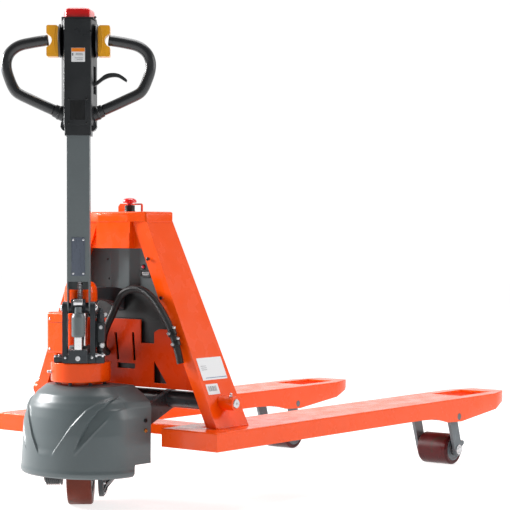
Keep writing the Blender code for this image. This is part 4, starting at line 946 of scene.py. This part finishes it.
# Carrier ----------------------------------------------------------------------------------------
# Height, reach to the front, half width and half width at the rear of the moulded cover
COVER_LEVELS = [(0.0720, 0.1100, 0.1455, 0.1470), (0.0745, 0.1155, 0.1500, 0.1515),
                (0.0820, 0.1175, 0.1520, 0.1530), (0.0900, 0.1160, 0.1500, 0.1520),
                (0.1150, 0.1138, 0.1486, 0.1515), (0.1650, 0.1100, 0.1470, 0.1520),
                (0.2000, 0.1052, 0.1430, 0.1530), (0.2220, 0.1005, 0.1370, 0.1540),
                (0.2350, 0.0960, 0.1290, 0.1480), (0.2500, 0.0850, 0.1130, 0.1290),
                (0.2620, 0.0700, 0.0980, 0.1080), (0.2680, 0.0600, 0.0900, 0.1000)]
# Height and half width of the hollow centre, then height and heading in degrees of the scoop's two edges
BONNET = [(0.1175, 0.012), (0.1205, 0.021), (0.1360, 0.031), (0.1570, 0.0465), (0.1880, 0.0660),
          (0.2205, 0.0895), (0.2500, 0.1200)]
SCOOP_IN = [(0.1300, 36.5), (0.1547, 42.0), (0.1931, 50.9), (0.2215, 61.0), (0.2389, 75.4), (0.2503, 95.0)]
SCOOP_OUT = [(0.1270, 38.0), (0.1742, 56.9), (0.2113, 73.1), (0.2190, 80.0), (0.2240, 100.0)]
HOLLOW_DEPTH, HOLLOW_RIM, SCOOP_DEPTH, SCOOP_RIM = 0.0034, 0.0018, 0.0068, 0.0013


def between(table, value, column=1):
    """Straight-line reading of a table of rows sorted by their first value."""
    if value <= table[0][0]:
        return table[0][column]
    for low, high in zip(table, table[1:]):
        if value <= high[0]:
            share = (value - low[0]) / (high[0] - low[0])
            return low[column] + (high[column] - low[column]) * share
    return table[-1][column]


def ease(value, low, high):
    t = min(1.0, max(0.0, (value - low) / (high - low)))
    return t * t * (3 - 2 * t)


def band(value, low, full_low, full_high, high):
    """Rises from 0 to 1 between the first two levels and falls back between the last two."""
    return ease(value, low, full_low) * (1 - ease(value, full_high, high))


def bump(distance, width):
    return math.exp(-(distance / width) ** 2)


def softened(value, column, reach=0.0016):
    """Cover section size at a height, averaged over a short span so that its shoulders are rounded."""
    offsets = (-1.0, -0.5, 0.0, 0.5, 1.0)
    return sum(between(COVER_LEVELS, value + reach * o, column) for o in offsets) / len(offsets)


def cover_point(share, z):
    """Point of the cover's outer skin: share runs 0 to 1 round the section from rear right to rear left."""
    a, b, rear = (softened(z, column) for column in (1, 2, 3))
    rear_x, flank = 0.065, 0.17
    if share < flank:
        t = share / flank
        point = Vector((rear_x * (1 - t), -(rear + (b - rear) * t), z))
        outward = -Y
    elif share > 1 - flank:
        t = (1 - share) / flank
        point = Vector((rear_x * (1 - t), rear + (b - rear) * t, z))
        outward = Y
    else:
        angle = math.radians(-90 + 180 * (share - flank) / (1 - 2 * flank))
        point = Vector((-a * math.cos(angle), b * math.sin(angle), z))
        outward = Vector((-math.cos(angle) / a, math.sin(angle) / b, 0)).normalized()
    heading = math.degrees(math.atan2(abs(point.y), -point.x))
    half = between(BONNET, z)
    hollow = HOLLOW_DEPTH * ease(half - abs(point.y), -0.0010, 0.0018) * band(z, 0.116, 0.140, 0.235, 0.255)
    inner, outer = between(SCOOP_IN, z), between(SCOOP_OUT, z)
    sunk = 0.0
    if 0.1285 < z < 0.2500 and inner < heading < outer:
        across = (heading - inner) / max(1.0, outer - inner)
        sunk = SCOOP_DEPTH * (1 - across) * ease(across, 0.0, 0.08) * band(z, 0.1285, 0.165, 0.238, 0.250)
        sunk *= 1 - ease(heading, 84, 96)
    edge_top = 0.232 if point.y > 0 else 0.200
    low_edge = HOLLOW_RIM * bump(abs(point.y) - half, 0.0016) * band(z, 0.122, 0.134, edge_top - 0.015,
                                 edge_top)
    scoop_edge = SCOOP_RIM * bump(heading - outer, 1.0) * band(z, 0.122, 0.134, 0.198, 0.212)
    return point + outward * (low_edge + scoop_edge - hollow - sunk)


def cover_low_edge(share):
    """Height of the cover's bottom edge, which steps up near the rear of each flank."""
    x = cover_point(share, 0.09).x
    return 0.072 + 0.026 * ease(x, 0.0105, 0.0165)


def drive_cover():
    columns, rows = 380, 120
    bm = bmesh.new()
    shares = [i / columns for i in range(columns + 1)]
    grid = []
    for row in range(rows + 1):
        line = []
        for share in shares:
            low = cover_low_edge(share)
            line.append(bm.verts.new(cover_point(share, low + (0.268 - low) * row / rows)))
        grid.append(line)
    for radius, height in ((0.080, 0.2694), (0.066, 0.2702), (0.050, 0.2705)):
        line = []
        for share in shares:
            edge = cover_point(share, 0.268)
            angle = math.radians(-170 + 340 * share)
            hole = Vector((-0.050 * math.cos(angle), 0.050 * math.sin(angle), 0.2705))
            blend = {0.080: 0.35, 0.066: 0.70, 0.050: 1.0}[radius]
            point = edge.lerp(hole, blend)
            point.z = height
            line.append(bm.verts.new(point))
        grid.append(line)
    for low, high in zip(grid, grid[1:]):
        for i in range(columns):
            bm.faces.new((low[i], low[i + 1], high[i + 1], high[i]))
    bm.faces.new((grid[-4][-1], grid[-4][0], grid[-1][0], grid[-1][-1]))
    bmesh.ops.recalc_face_normals(bm, faces=bm.faces)
    if sum(f.normal.z for f in bm.faces) < 0:
        bmesh.ops.reverse_faces(bm, faces=bm.faces)
    obj = temporary(bm)
    wall = obj.modifiers.new("wall", "SOLIDIFY")
    wall.thickness = 0.0016
    wall.offset = -1.0
    mesh = settled(obj)
    shell = bmesh.new()
    shell.from_mesh(mesh)
    add("drive_cover_shell", shell, "carrier", COVER, nodes=["drive_cover"], sharp=44)
    bolts, dark = [], []
    for sign in (-1, 1):
        for z, group in ((0.1709, bolts), (0.1931, dark)):
            group.append(on_axis(socket_screw(0.0046, 0.0030), (0.0485, sign * 0.1500, z), Y * sign))
    add("cover_screws_brass", gathered(bolts), "carrier", BRASS)
    add("cover_screws_dark", gathered(dark), "carrier", BLACK)


def carrier():
    foot = RING_LOW - 0.008
    profile = fillet([(RING_RADIUS, RING_TOP), (RING_RADIUS, foot), (0.045, foot), (0.045, 0.2223),
                      (0.0268, 0.2223), (0.0268, RING_TOP)], [0.003, 0.004, 0.002, 0.001, 0.0006, 0.001], 5)
    add("bearing_ring_finished", lathe(profile, 112), "carrier", ORANGE, nodes=["bearing_ring"], sharp=50)
    refine("carrier_yoke", ARM, bevel=0.0008)
    heads = [on_axis(hex_bolt(0.0070, 0.0036), spot, Z)
             for spot in around((200, 246, 292, 338, 24, 70, 116), 0.0570, 0.2706)]
    add("ring_bolts", gathered(heads), "carrier", CAST)
    outward = around([148], 1.0)[0]
    nipple = on_axis(grease_nipple(), around([148], RING_RADIUS, 0.2985)[0], outward)
    add("ring_grease_nipple", nipple, "carrier", ZINC)


# Drive unit, steered ----------------------------------------------------------------------------
def drive_wheel():
    place = plane((0, 0, DRIVE_RADIUS), Y, Z)
    half, shoulder = DRIVE_HALF, DRIVE_RADIUS - 0.003
    tread = fillet([(0.0830, -half), (shoulder, -half), (DRIVE_RADIUS, -half + 0.0035),
                    (DRIVE_RADIUS, half - 0.0035), (shoulder, half), (0.0830, half)], 0.0018, 4)
    add("drive_wheel_tread", moved(lathe(tread, 144), place), "drive_wheel", DRIVE_TREAD, STEERED,
        ["drive_wheel"], sharp=50)
    hub = [(0.0155, -0.0265), (0.0300, -0.0265), (0.0330, -0.0235), (0.0700, -0.0235), (0.0740, -0.0265),
           (0.0829, -0.0265)]
    hub += [(r, -h) for r, h in reversed(hub)]
    add("drive_wheel_hub", moved(lathe(hub, 112), place), "drive_wheel", CAST, STEERED)
    bolts = []
    for side in (-1, 1):
        for y, z, _ in around(range(0, 360, 72), 0.050):
            spot = (side * 0.0235, y, DRIVE_RADIUS + z)
            bolts.append(on_axis(socket_screw(0.0045, 0.0026), spot, X * side))
    add("drive_wheel_bolts", gathered(bolts), "drive_wheel", ZINC, STEERED)


def drive_train():
    refine("drive_fork", ARM, STEERED, bevel=0.0008)
    gear_place = stand((DRIVE_FACE, 0, DRIVE_RADIUS), X)
    gear = fillet([(0, 0.0370), (0.034, 0.0370), (0.046, 0.0330), (0.062, 0.0150), (0.083, 0.0105),
                   (0.083, 0.0), (0, 0.0)], [0, 0.003, 0.006, 0.008, 0.002, 0.001, 0], 5, False)
    parts = [lathe(gear, 112)]
    rib_outline = fillet([(0.040, 0.0), (0.080, 0.0), (0.080, 0.0125), (0.062, 0.0190), (0.044, 0.0345),
                          (0.040, 0.0345)], 0.002)
    for a in [2 * math.pi * index / 10 for index in range(10)]:
        edge = plane((0.0018 * math.sin(a), -0.0018 * math.cos(a), 0), (math.cos(a), math.sin(a), 0), Z)
        parts.append(moved(prism(rib_outline, 0.0036), edge))
    add("gearbox_casting", moved(gathered(parts), gear_place), "drive_unit", CAST, STEERED, ["gearbox"],
        bevel=0.0006, angle=60)
    bolts = [on_axis(hex_bolt(0.0070, 0.0034), spot, Z)
             for spot in around(range(18, 360, 36), 0.0744, 0.0118)]
    add("gearbox_bolts", moved(gathered(bolts), gear_place), "drive_unit", ZINC, STEERED)

    can = [(0, 0.0400), (0.046, 0.0400), (0.0500, 0.0385)]
    for index in range(7):
        height = 0.0340 - index * 0.0044
        can += [(0.0520, height + 0.0012), (0.0565, height + 0.0008), (0.0565, height - 0.0012),
                (0.0520, height - 0.0016)]
    can += [(0.0520, 0.0034), (0.0565, 0.0030), (0.0565, 0.0), (0, 0.0)]
    motor = moved(lathe(can, 112), stand((-DRIVE_FACE, 0, DRIVE_RADIUS), -X))
    add("drive_motor_finned", motor, "drive_unit", CHARCOAL, STEERED, ["drive_motor"])
    gland = [(0.0, 0.0), (hexagon(0.018), 0.0), (hexagon(0.018), 0.006), (0.0080, 0.0065), (0.0076, 0.0130),
             (0.0058, 0.0148), (0, 0.0148)]
    add("motor_cable_gland", moved(lathe(gland, 48), stand((-0.0640, -0.040, 0.140), (0, -0.6, 0.8))),
        "drive_unit", BLACK, STEERED)
    screws = [on_axis(socket_screw(0.0040, 0.0030), (-0.0813, y, DRIVE_RADIUS + z), -X)
              for y, z, _ in around(range(45, 360, 90), 0.036)]
    add("motor_screws", gathered(screws), "drive_unit", ZINC, STEERED)


def pump():
    """Pump casting with its fittings, the plunger and the lift barrel."""
    refine("pump_body", CAST, HANDLE, bevel=0.0014, segments=3)
    barrel = fillet([(0.0260, 0.3550), (0.0260, 0.2119), (0.0165, 0.2119), (0.0165, 0.3550)], 0.0012, 3)
    add("lift_barrel_finished", lathe(barrel, 96), "drive_unit", CAST, STEERED, ["lift_barrel"], sharp=50)
    over_plunger = Matrix.Translation((0, -PLUNGER_N, 0))
    sleeve = fillet([(0.01012, 0.3368), (0.01018, 0.3752), (0.0097, 0.3758), (0.0097, 0.3368)], 0.0001, 1)
    add("plunger_sleeve_skin", moved(lathe(sleeve, 64), over_plunger), "drive_unit", CHROME, HANDLE)

    valve = [(0, 0.4390), (0.0030, 0.4390), (0.0034, 0.4360), (hexagon(0.0112), 0.4355),
             (hexagon(0.0112), 0.4305), (0.0072, 0.4300), (0.0072, 0.4270), (hexagon(0.0178), 0.4262),
             (hexagon(0.0178), 0.4160), (0.0090, 0.4150), (0.0098, 0.4130), (0.0098, 0.3570),
             (0.0070, 0.3545), (0.0070, 0.3420), (0.0098, 0.3400), (0.0098, 0.3190), (0, 0.3190)]
    add("release_valve_body", moved(lathe(valve, 60), Matrix.Translation((0.0483, -0.052, 0))), "drive_unit",
        CAST, HANDLE, ["release_valve"])
    cover = raised(prism(rounded_rectangle(0.0095, 0.012, 0.004, (0.0500, -0.0540)), 0.044), 0.362)
    web = block((0.0370, -0.0600, 0.3500), (0.0420, -0.0440, 0.4100))
    lug = block((-0.0600, -0.0420, 0.3152), (-0.0370, -0.0140, 0.3270))
    side_lug = block((0.0370, -0.0700, 0.3152), (0.0580, -0.0330, 0.3300))
    add("valve_casting", gathered([cover, web, lug, side_lug]), "drive_unit", CAST, HANDLE, bevel=0.0016,
        segments=3)
    lever = prism(link_outline((0.0, 0.0), (0.0165, 0.0060), 0.0062, 0.0038), 0.0030)
    add("release_lever", moved(lever, plane((0.0440, -0.0480, 0.4185), X, Z)), "drive_unit", ZINC, HANDLE,
        bevel=0.0005)

    bolts = [on_axis(hex_bolt(0.0082, 0.0042), spot, Z)
             for spot in ((-0.0555, -0.0340, 0.3270), (-0.0470, -0.0220, 0.3270))]
    bolts += [on_axis(socket_screw(0.0042, 0.0042), (x, y, 0.3360), Z)
              for x, y in ((-0.0305, -0.0730), (0.0305, -0.0730), (-0.0310, 0.0340), (0.0310, 0.0340))]
    bolts.append(on_axis(hex_bolt(0.0090, 0.0046), (0.0535, -0.0660, 0.3555), -Y))
    bolts.append(on_axis(hex_bolt(0.0070, 0.0036), (0.0500, -0.0660, 0.3960), -Y))
    bolts += [on_axis(pan_screw(0.0034), (x, -0.0800, 0.3290), -Y) for x in (0.0300, -0.0300)]
    add("pump_bolts", gathered(bolts), "drive_unit", ZINC, HANDLE)
    screw = on_axis(thread(0.0030, 0.0230, 0.0014), (0.0375, -0.0760, 0.3345), X)
    nuts = [on_axis(hex_bolt(0.0090, 0.0044, False, 0.0), (x, -0.0760, 0.3345), X) for x in (0.0385, 0.0530)]
    add("adjusting_screw", gathered([screw, *nuts]), "drive_unit", ZINC, HANDLE)
    plug = on_axis(socket_screw(0.0055, 0.0020), (0.0, -0.1058, 0.3290), -Y)
    add("pump_port_plug", plug, "drive_unit", ZINC, HANDLE)

    pin = rod((-0.0425, -TILLER_N, TILLER_Z), (0.0425, -TILLER_N, TILLER_Z), 0.0070, 48, 0.001)
    add("tiller_pin_turned", pin, "drive_unit", STEEL, HANDLE, ["tiller_pin"])
    clip = [(0.0072, 0), (0.0105, 0), (0.0108, 0.0006), (0.0105, 0.0012), (0.0072, 0.0012)]
    clips = [on_axis(lathe(clip, 48), (side * 0.0376, -TILLER_N, TILLER_Z), X * side) for side in (-1, 1)]
    add("tiller_pin_rings", gathered(clips), "drive_unit", ZINC, HANDLE)

    profile = fillet([(0, 0.4434), (0.0082, 0.4434), (0.0085, 0.4300), (0.0125, 0.4275), (0.0155, 0.4200),
                      (0.0155, 0.3800), (0.0145, 0.3765), (0.0103, 0.3765), (0.0103, 0.4168), (0, 0.4168)],
                     [0, 0.0010, 0.0012, 0.0012, 0.003, 0.0015, 0.0008, 0.0003, 0.0003, 0], 4, False)
    add("plunger_cap", moved(lathe(profile, 72), over_plunger), "plunger", TUBE, HANDLE, ["plunger"],
        sharp=50)


# Tiller -----------------------------------------------------------------------------------------
def tiller():
    refine("tiller_tube", TUBE, HANDLE, bevel=0.0006)
    refine("pump_crank", CAST, HANDLE, bevel=0.0008)
    wheel = fillet([(0.0090, 0.0103), (0.0090, -0.0103), (0.0033, -0.0103), (0.0033, 0.0103)],
                   [0.0012, 0.0012, 0.0004, 0.0004], 4)
    roller = moved(lathe(wheel, 64), stand((0, -PLUNGER_N, 0.4530), X))
    add("pressure_roller_turned", roller, "pressure_roller", STEEL, HANDLE, ["pressure_roller"], sharp=50)
    spring = moved(coil(0.0052, 0.0009, 12, 0.044), Matrix.Translation((0.0030, -0.0710, 0.4610)))
    seat = block((-0.0040, -0.0750, 0.4570), (0.0100, -0.0660, 0.4612))
    add("return_spring", spring, "tiller", ZINC, HANDLE)
    add("return_spring_seat", seat, "tiller", CAST, HANDLE, bevel=0.0008)

    front, plate_z = -TUBE_N1, 0.555
    sheet = slab_y(rounded_rectangle(0.0155, 0.0430, 0.0020, (0, plate_z)), 0.0007, front)
    middle = slab_y(rounded_rectangle(0.0140, 0.0335, 0.0012, (0, plate_z)), 0.0010, front)
    add("name_plate_blank", gathered([sheet, middle]), "tiller", PLATE, HANDLE, bevel=0.0002)
    studs = [on_axis(rivet(0.0026), (t, front - 0.0007, plate_z + end * 0.0375), -Y)
             for t in (-0.0115, 0.0115) for end in (-1, 1)]
    add("name_plate_rivets", gathered(studs), "tiller", ZINC, HANDLE)


def button_plan(inset):
    """The red button's outline from above, drawn in by an inset."""
    front, back, rear = 0.0275 - inset, 0.0355 - inset, 0.0330 - inset
    return [(-front, -0.0915 + inset), (front, -0.0915 + inset), (back, -0.0420), (rear, -0.0365 - inset),
            (-rear, -0.0365 - inset), (-back, -0.0420)]


def head():
    """Control head: tapered moulding on its collar, with its window, cap and labels."""
    plan = fillet([(-0.031, HEAD_FRONT), (0.031, HEAD_FRONT), (0.041, -0.040), (0.036, -0.026),
                   (-0.036, -0.026), (-0.041, -0.040)], 0.0042, 6)
    shape = raised(prism(plan, HEAD_TOP - HEAD_LOW), HEAD_LOW)
    collar_plan = fillet([(-0.0305, -0.0950), (0.0305, -0.0950), (0.0305, -0.0330), (-0.0305, -0.0330)],
                         0.0045, 6)
    collar = raised(prism(collar_plan, 0.0325), 0.825)
    ears = [slab_y(fillet([(side * 0.0290, 0.8340), (side * 0.0375, 0.8385), (side * 0.0415, 0.8450),
                           (side * 0.0400, 0.8560), (side * 0.0290, 0.8620)], 0.002), 0.030, -0.040)
            for side in (-1, 1)]
    window = slab_y(rounded_rectangle(0.0170, 0.0220, 0.0015, (0, WINDOW_Z)), 0.02, WINDOW_FLOOR)
    pocket = raised(prism(button_plan(-0.0005), 0.032), 1.068)
    slot = block((0.0260, -0.0780, 0.9180), (0.0600, -0.0520, 0.9800))
    gap = 0.0003
    bore = block((-TUBE_HALF_T - gap, -TUBE_N1 - gap, 0.80), (TUBE_HALF_T + gap, -TUBE_N0 + gap, HEAD_LOW))
    notches = [block((side * 0.0305 - 0.0030, -0.1010, 1.0535), (side * 0.0305 + 0.0030, -0.0960, 1.0590))
               for side in (-1, 1)]
    shape = cut(fused(shape, collar, *ears), window, pocket, slot, bore, *notches)
    add("tiller_head_moulding", shape, "tiller", CHARCOAL, HANDLE, ["tiller_head"], bevel=0.0006, angle=42)

    ribs = [slab_y(rounded_rectangle(0.0007, 0.0205, 0.0005, (-0.0140 + 0.0028 * i, WINDOW_Z)), 0.0022,
                   WINDOW_FLOOR) for i in range(11)]
    add("head_window_ribs", gathered(ribs), "tiller", BLACK, HANDLE)
    screws = [on_axis(pan_screw(0.0027), (t, HEAD_FRONT, z), -Y)
              for t in (-0.0205, 0.0205) for z in (0.9050, 0.8520)]
    add("head_screws", gathered(screws), "tiller", BLACK, HANDLE)

    def patch(half_t, half_z, radius, centre, thick):
        return slab_y(rounded_rectangle(half_t, half_z, radius, centre), thick, HEAD_FRONT)

    add("head_label", patch(0.0155, 0.0155, 0.0010, (0.0015, 1.0030), 0.0003), "tiller", PAPER, HANDLE)
    stripe = patch(0.0150, 0.0040, 0.0006, (0.0015, 1.0140), 0.0005)
    add("head_label_band", stripe, "tiller", LABEL_ORANGE, HANDLE)
    marks = [patch(half, 0.0006, 0.0003, (t, z), 0.0004)
             for t, z, half in ((0.0040, 1.0060, 0.0075), (0.0040, 1.0030, 0.0085), (0.0030, 0.9960, 0.0095),
                                (0.0050, 0.9920, 0.0070))]
    marks.append(patch(0.0018, 0.0030, 0.0006, (-0.0110, 1.0040), 0.0004))
    add("head_label_marks", gathered(marks), "tiller", PRINT, HANDLE)
    refine("head_cap", BLACK, HANDLE, bevel=0.0008)

    rows = []
    for inset, height in ((0.0030, 1.0780), (0.0, 1.0800), (0.0, 1.1005), (0.0007, 1.1036), (0.0024, 1.1066),
                          (0.0052, 1.1086), (0.0095, 1.1097), (0.0160, 1.1100)):
        rows.append([(a, b, height) for a, b in fillet(button_plan(inset), 0.0060, 6)])
    add("belly_button_dome", loft(rows), "belly_button", RED, HANDLE, ["belly_button"], sharp=60)


def paddles():
    inner, outer = 0.0455, 0.0725
    outline = [(inner, 1.0016), (outer, 1.0016), (outer, 1.0222), (0.0655, 1.0262), (0.0610, 1.0330),
               (0.0600, 1.0385), (0.0620, 1.0455), (0.0680, 1.0505), (outer, 1.0532), (outer, 1.0715),
               (0.0500, 1.0715), (inner + 0.0012, 1.0695), (inner, 1.0660)]
    sizes = [0.002, 0.0045, 0.003, 0.004, 0.006, 0.004, 0.006, 0.004, 0.003, 0.0045, 0.002, 0.001, 0.001]
    grooves = [(0, 0.0036), (0.0170, 0.0036), (0.0175, 0.0028), (0.0200, 0.0028), (0.0205, 0.0036),
               (0.0345, 0.0036), (0.0368, 0.0026), (0.0375, 0.0012), (0.0375, -0.0010), (0, -0.0010)]
    for sign, hand in HANDS:
        wing = slab_y(fillet([(sign * t, z) for t, z in outline], sizes, 5), 0.030, -TILLER_N + 0.015)
        thumb = on_axis(lathe([(0, 0), (0.0300, 0.0), (0.0300, 0.060), (0, 0.060)], 96),
                        (sign * 0.0700, -0.1085, PADDLE_Z - 0.030), Z)
        add("paddle_wing_" + hand, cut(wing, thumb), "paddle_" + hand, YELLOW, HANDLE, ["paddle_" + hand],
            bevel=0.0028, segments=4, angle=40, sharp=50)
        rib = [Vector((sign * (0.0498 + 0.0052 * (1 - ((z - PADDLE_Z) / 0.034) ** 2)), -TILLER_N - 0.0144, z))
               for z in [PADDLE_Z - 0.031 + 0.0031 * i for i in range(21)]]
        add("paddle_rib_" + hand, sweep(rib, 0.0013, 12, (True, True)), "paddle_" + hand, YELLOW, HANDLE)
        disc = moved(lathe(grooves, 96), stand((sign * (0.041 + 0.0004), -TILLER_N, PADDLE_Z), X * sign))
        add("paddle_hub_disc_" + hand, disc, "tiller", CHARCOAL, HANDLE, ["paddle_hub_" + hand])


GRIP_LOOP = [(0.0687, 1.0390), (0.0900, 1.0360), (0.1098, 1.0325), (0.1300, 1.0280), (0.1450, 1.0210),
             (0.1576, 1.0090), (0.1640, 0.9940), (0.1650, 0.9800), (0.1625, 0.9660), (0.1570, 0.9500),
             (0.1500, 0.9340), (0.1420, 0.9230), (0.1300, 0.9155), (0.1100, 0.9063), (0.0893, 0.8968),
             (0.0560, 0.8822)]


def grips():
    def girth(run):
        groove = 0.0009 * math.exp(-((run - 0.0075) / 0.0011) ** 2)
        return 0.0124 - groove

    for sign, hand in HANDS:
        path = resampled(spline_points([(sign * t, -TILLER_N, z) for t, z in GRIP_LOOP], 8), 0.0022)
        add("grip_bar_" + hand, sweep(path, girth, 40), "tiller", RUBBER, HANDLE, ["grip_" + hand],
            bevel=0.0022, segments=3, angle=60, sharp=60)
        heading = Vector((sign * 0.9155, 0, 0.4023))
        start = Vector((sign * 0.0320, -TILLER_N, 0.8741 - 0.0024))
        collar = fillet([(0, 0), (0.0158, 0), (0.0155, 0.0095), (0.0163, 0.0106), (0.0163, 0.0145),
                         (0.0146, 0.0160), (0.0142, 0.0256), (0.0128, 0.0260), (0, 0.0260)], 0.0008, 3, False)
        add("grip_socket_collar_" + hand, moved(lathe(collar, 64), stand(start, heading)), "tiller",
            CHARCOAL, HANDLE, ["grip_socket_" + hand], sharp=50)
        screw = on_axis(pan_screw(0.0024), start + heading * 0.0126 + Vector((0, -0.0161, 0)), -Y)
        add("grip_socket_screw_" + hand, screw, "tiller", BLACK, HANDLE)


def lowering_lever():
    spine = ((0.0300, 0.9360), (0.0440, 0.9440), (0.0600, 0.9560), (0.0760, 0.9610), (0.0920, 0.9600),
             (0.1060, 0.9520), (0.1115, 0.9475))
    centre = spline_points([(t, z, 0) for t, z in spine], 6)
    widths = spline_points([(w, 0, 0) for w in (0.0045, 0.0055, 0.0060, 0.0050, 0.0040, 0.0035, 0.0025)], 6)
    upper = [(p.x, p.y + w.x) for p, w in zip(centre, widths)]
    lower = [(p.x - 0.002, p.y - w.x) for p, w in zip(centre, widths)]
    blade = slab_y(upper + lower[::-1], 0.012, -TILLER_N + 0.006)
    add("lowering_lever_blade", blade, "lowering_lever", CHARCOAL, HANDLE, ["lowering_lever"], bevel=0.0026,
        segments=4, angle=50, sharp=60)


# Stage ------------------------------------------------------------------------------------------
FLOOR_TONE, FLOOR_GLOW = 0.42, 0.80
BRIGHT_SIDE = (0.66, 0.60, 0.36)                  # where the room's light comes from
DIM_LEVEL, FULL_LEVEL, BACKDROP_LEVEL = 0.20, 1.0, 1.02
SOFTBOXES = (("key", (-1.45, 2.4, 1.5), (-0.50, 0, 0.30), 1.0, 150),   # name, place, target, metres, watts
             ("right", (1.5, -2.8, 1.6), (0.2, 0, 0.25), 2.0, 41),
             ("top", (0.3, 0.1, 3.2), (0.2, 0, 0), 2.2, 48))
CAMERA_PLACE, CAMERA_LENS, SENSOR_WIDTH = (-3.28835, -2.68588, 0.61452), 119.92, 36.0
CAMERA_HEADING, CAMERA_PITCH = 0.678403920, 0.01505965   # radians, the pitch downwards


def stage():
    floor = bpy.data.objects.new("floor", bpy.data.meshes.new("floor"))
    bm = bmesh.new()
    bmesh.ops.create_grid(bm, x_segments=1, y_segments=1, size=14.0)
    bm.to_mesh(floor.data)
    bm.free()
    bpy.context.scene.collection.objects.link(floor)
    material = bpy.data.materials.new("pale_floor")
    material.use_nodes = True
    shader = material.node_tree.nodes["Principled BSDF"]
    shader.inputs["Base Color"].default_value = (FLOOR_TONE, FLOOR_TONE, FLOOR_TONE, 1.0)
    shader.inputs["Roughness"].default_value = 0.75
    shader.inputs["Specular IOR Level"].default_value = 0.0
    shader.inputs["Emission Color"].default_value = (1.0, 1.0, 1.0, 1.0)
    shader.inputs["Emission Strength"].default_value = FLOOR_GLOW
    floor.data.materials.append(material)
    studio()
    for settings in SOFTBOXES:
        softbox(*settings)


def studio():
    """White room that is dim on the side the truck's front faces, and plain white to look at."""
    world = bpy.data.worlds.new("studio")
    world.use_nodes = True
    nodes, links = world.node_tree.nodes, world.node_tree.links
    light = nodes["Background"]
    seen = nodes.new("ShaderNodeBackground")
    seen.inputs["Color"].default_value = (1.0, 1.0, 1.0, 1.0)
    seen.inputs["Strength"].default_value = BACKDROP_LEVEL
    place = nodes.new("ShaderNodeTexCoord")
    facing = nodes.new("ShaderNodeVectorMath")
    facing.operation = "DOT_PRODUCT"
    facing.inputs[1].default_value = BRIGHT_SIDE
    level = nodes.new("ShaderNodeMapRange")
    level.interpolation_type = "SMOOTHSTEP"
    for socket, value in zip(list(level.inputs)[1:5], (0.05, 0.80, DIM_LEVEL, FULL_LEVEL)):
        socket.default_value = value
    path = nodes.new("ShaderNodeLightPath")
    mixed = nodes.new("ShaderNodeMixShader")
    links.new(place.outputs["Generated"], facing.inputs[0])
    links.new(facing.outputs["Value"], level.inputs[0])
    links.new(level.outputs[0], light.inputs["Strength"])
    light.inputs["Color"].default_value = (1.0, 1.0, 1.0, 1.0)
    links.new(path.outputs["Is Camera Ray"], mixed.inputs[0])
    links.new(light.outputs[0], mixed.inputs[1])
    links.new(seen.outputs[0], mixed.inputs[2])
    links.new(mixed.outputs[0], nodes["World Output"].inputs["Surface"])
    bpy.context.scene.world = world


def softbox(name, place, target, size, watts):
    lamp = bpy.data.lights.new(name, "AREA")
    lamp.shape = "DISK"
    lamp.size = size
    lamp.energy = watts
    obj = bpy.data.objects.new(name, lamp)
    bpy.context.scene.collection.objects.link(obj)
    obj.location = place
    obj.rotation_euler = (Vector(target) - Vector(place)).to_track_quat("-Z", "Y").to_euler()


def camera():
    lens = bpy.data.cameras.new("camera")
    lens.lens = CAMERA_LENS
    lens.sensor_width = SENSOR_WIDTH
    lens.clip_end = 60.0
    obj = bpy.data.objects.new("camera", lens)
    bpy.context.scene.collection.objects.link(obj)
    obj.location = CAMERA_PLACE
    level = math.cos(CAMERA_PITCH)
    across = (math.cos(CAMERA_HEADING) * level, math.sin(CAMERA_HEADING) * level)
    view = Vector((*across, -math.sin(CAMERA_PITCH)))
    obj.rotation_euler = view.to_track_quat("-Z", "Y").to_euler()
    bpy.context.scene.camera = obj
    bpy.context.scene.view_settings.view_transform = "Standard"


for build in (forks, side_labels, crown, bent_cover, lower_front, stop_button, lift_parts, conduit,
              linkage, drive_cover, carrier, drive_wheel, drive_train, pump, tiller, head, paddles,
              grips, lowering_lever, stage, camera):
    build()
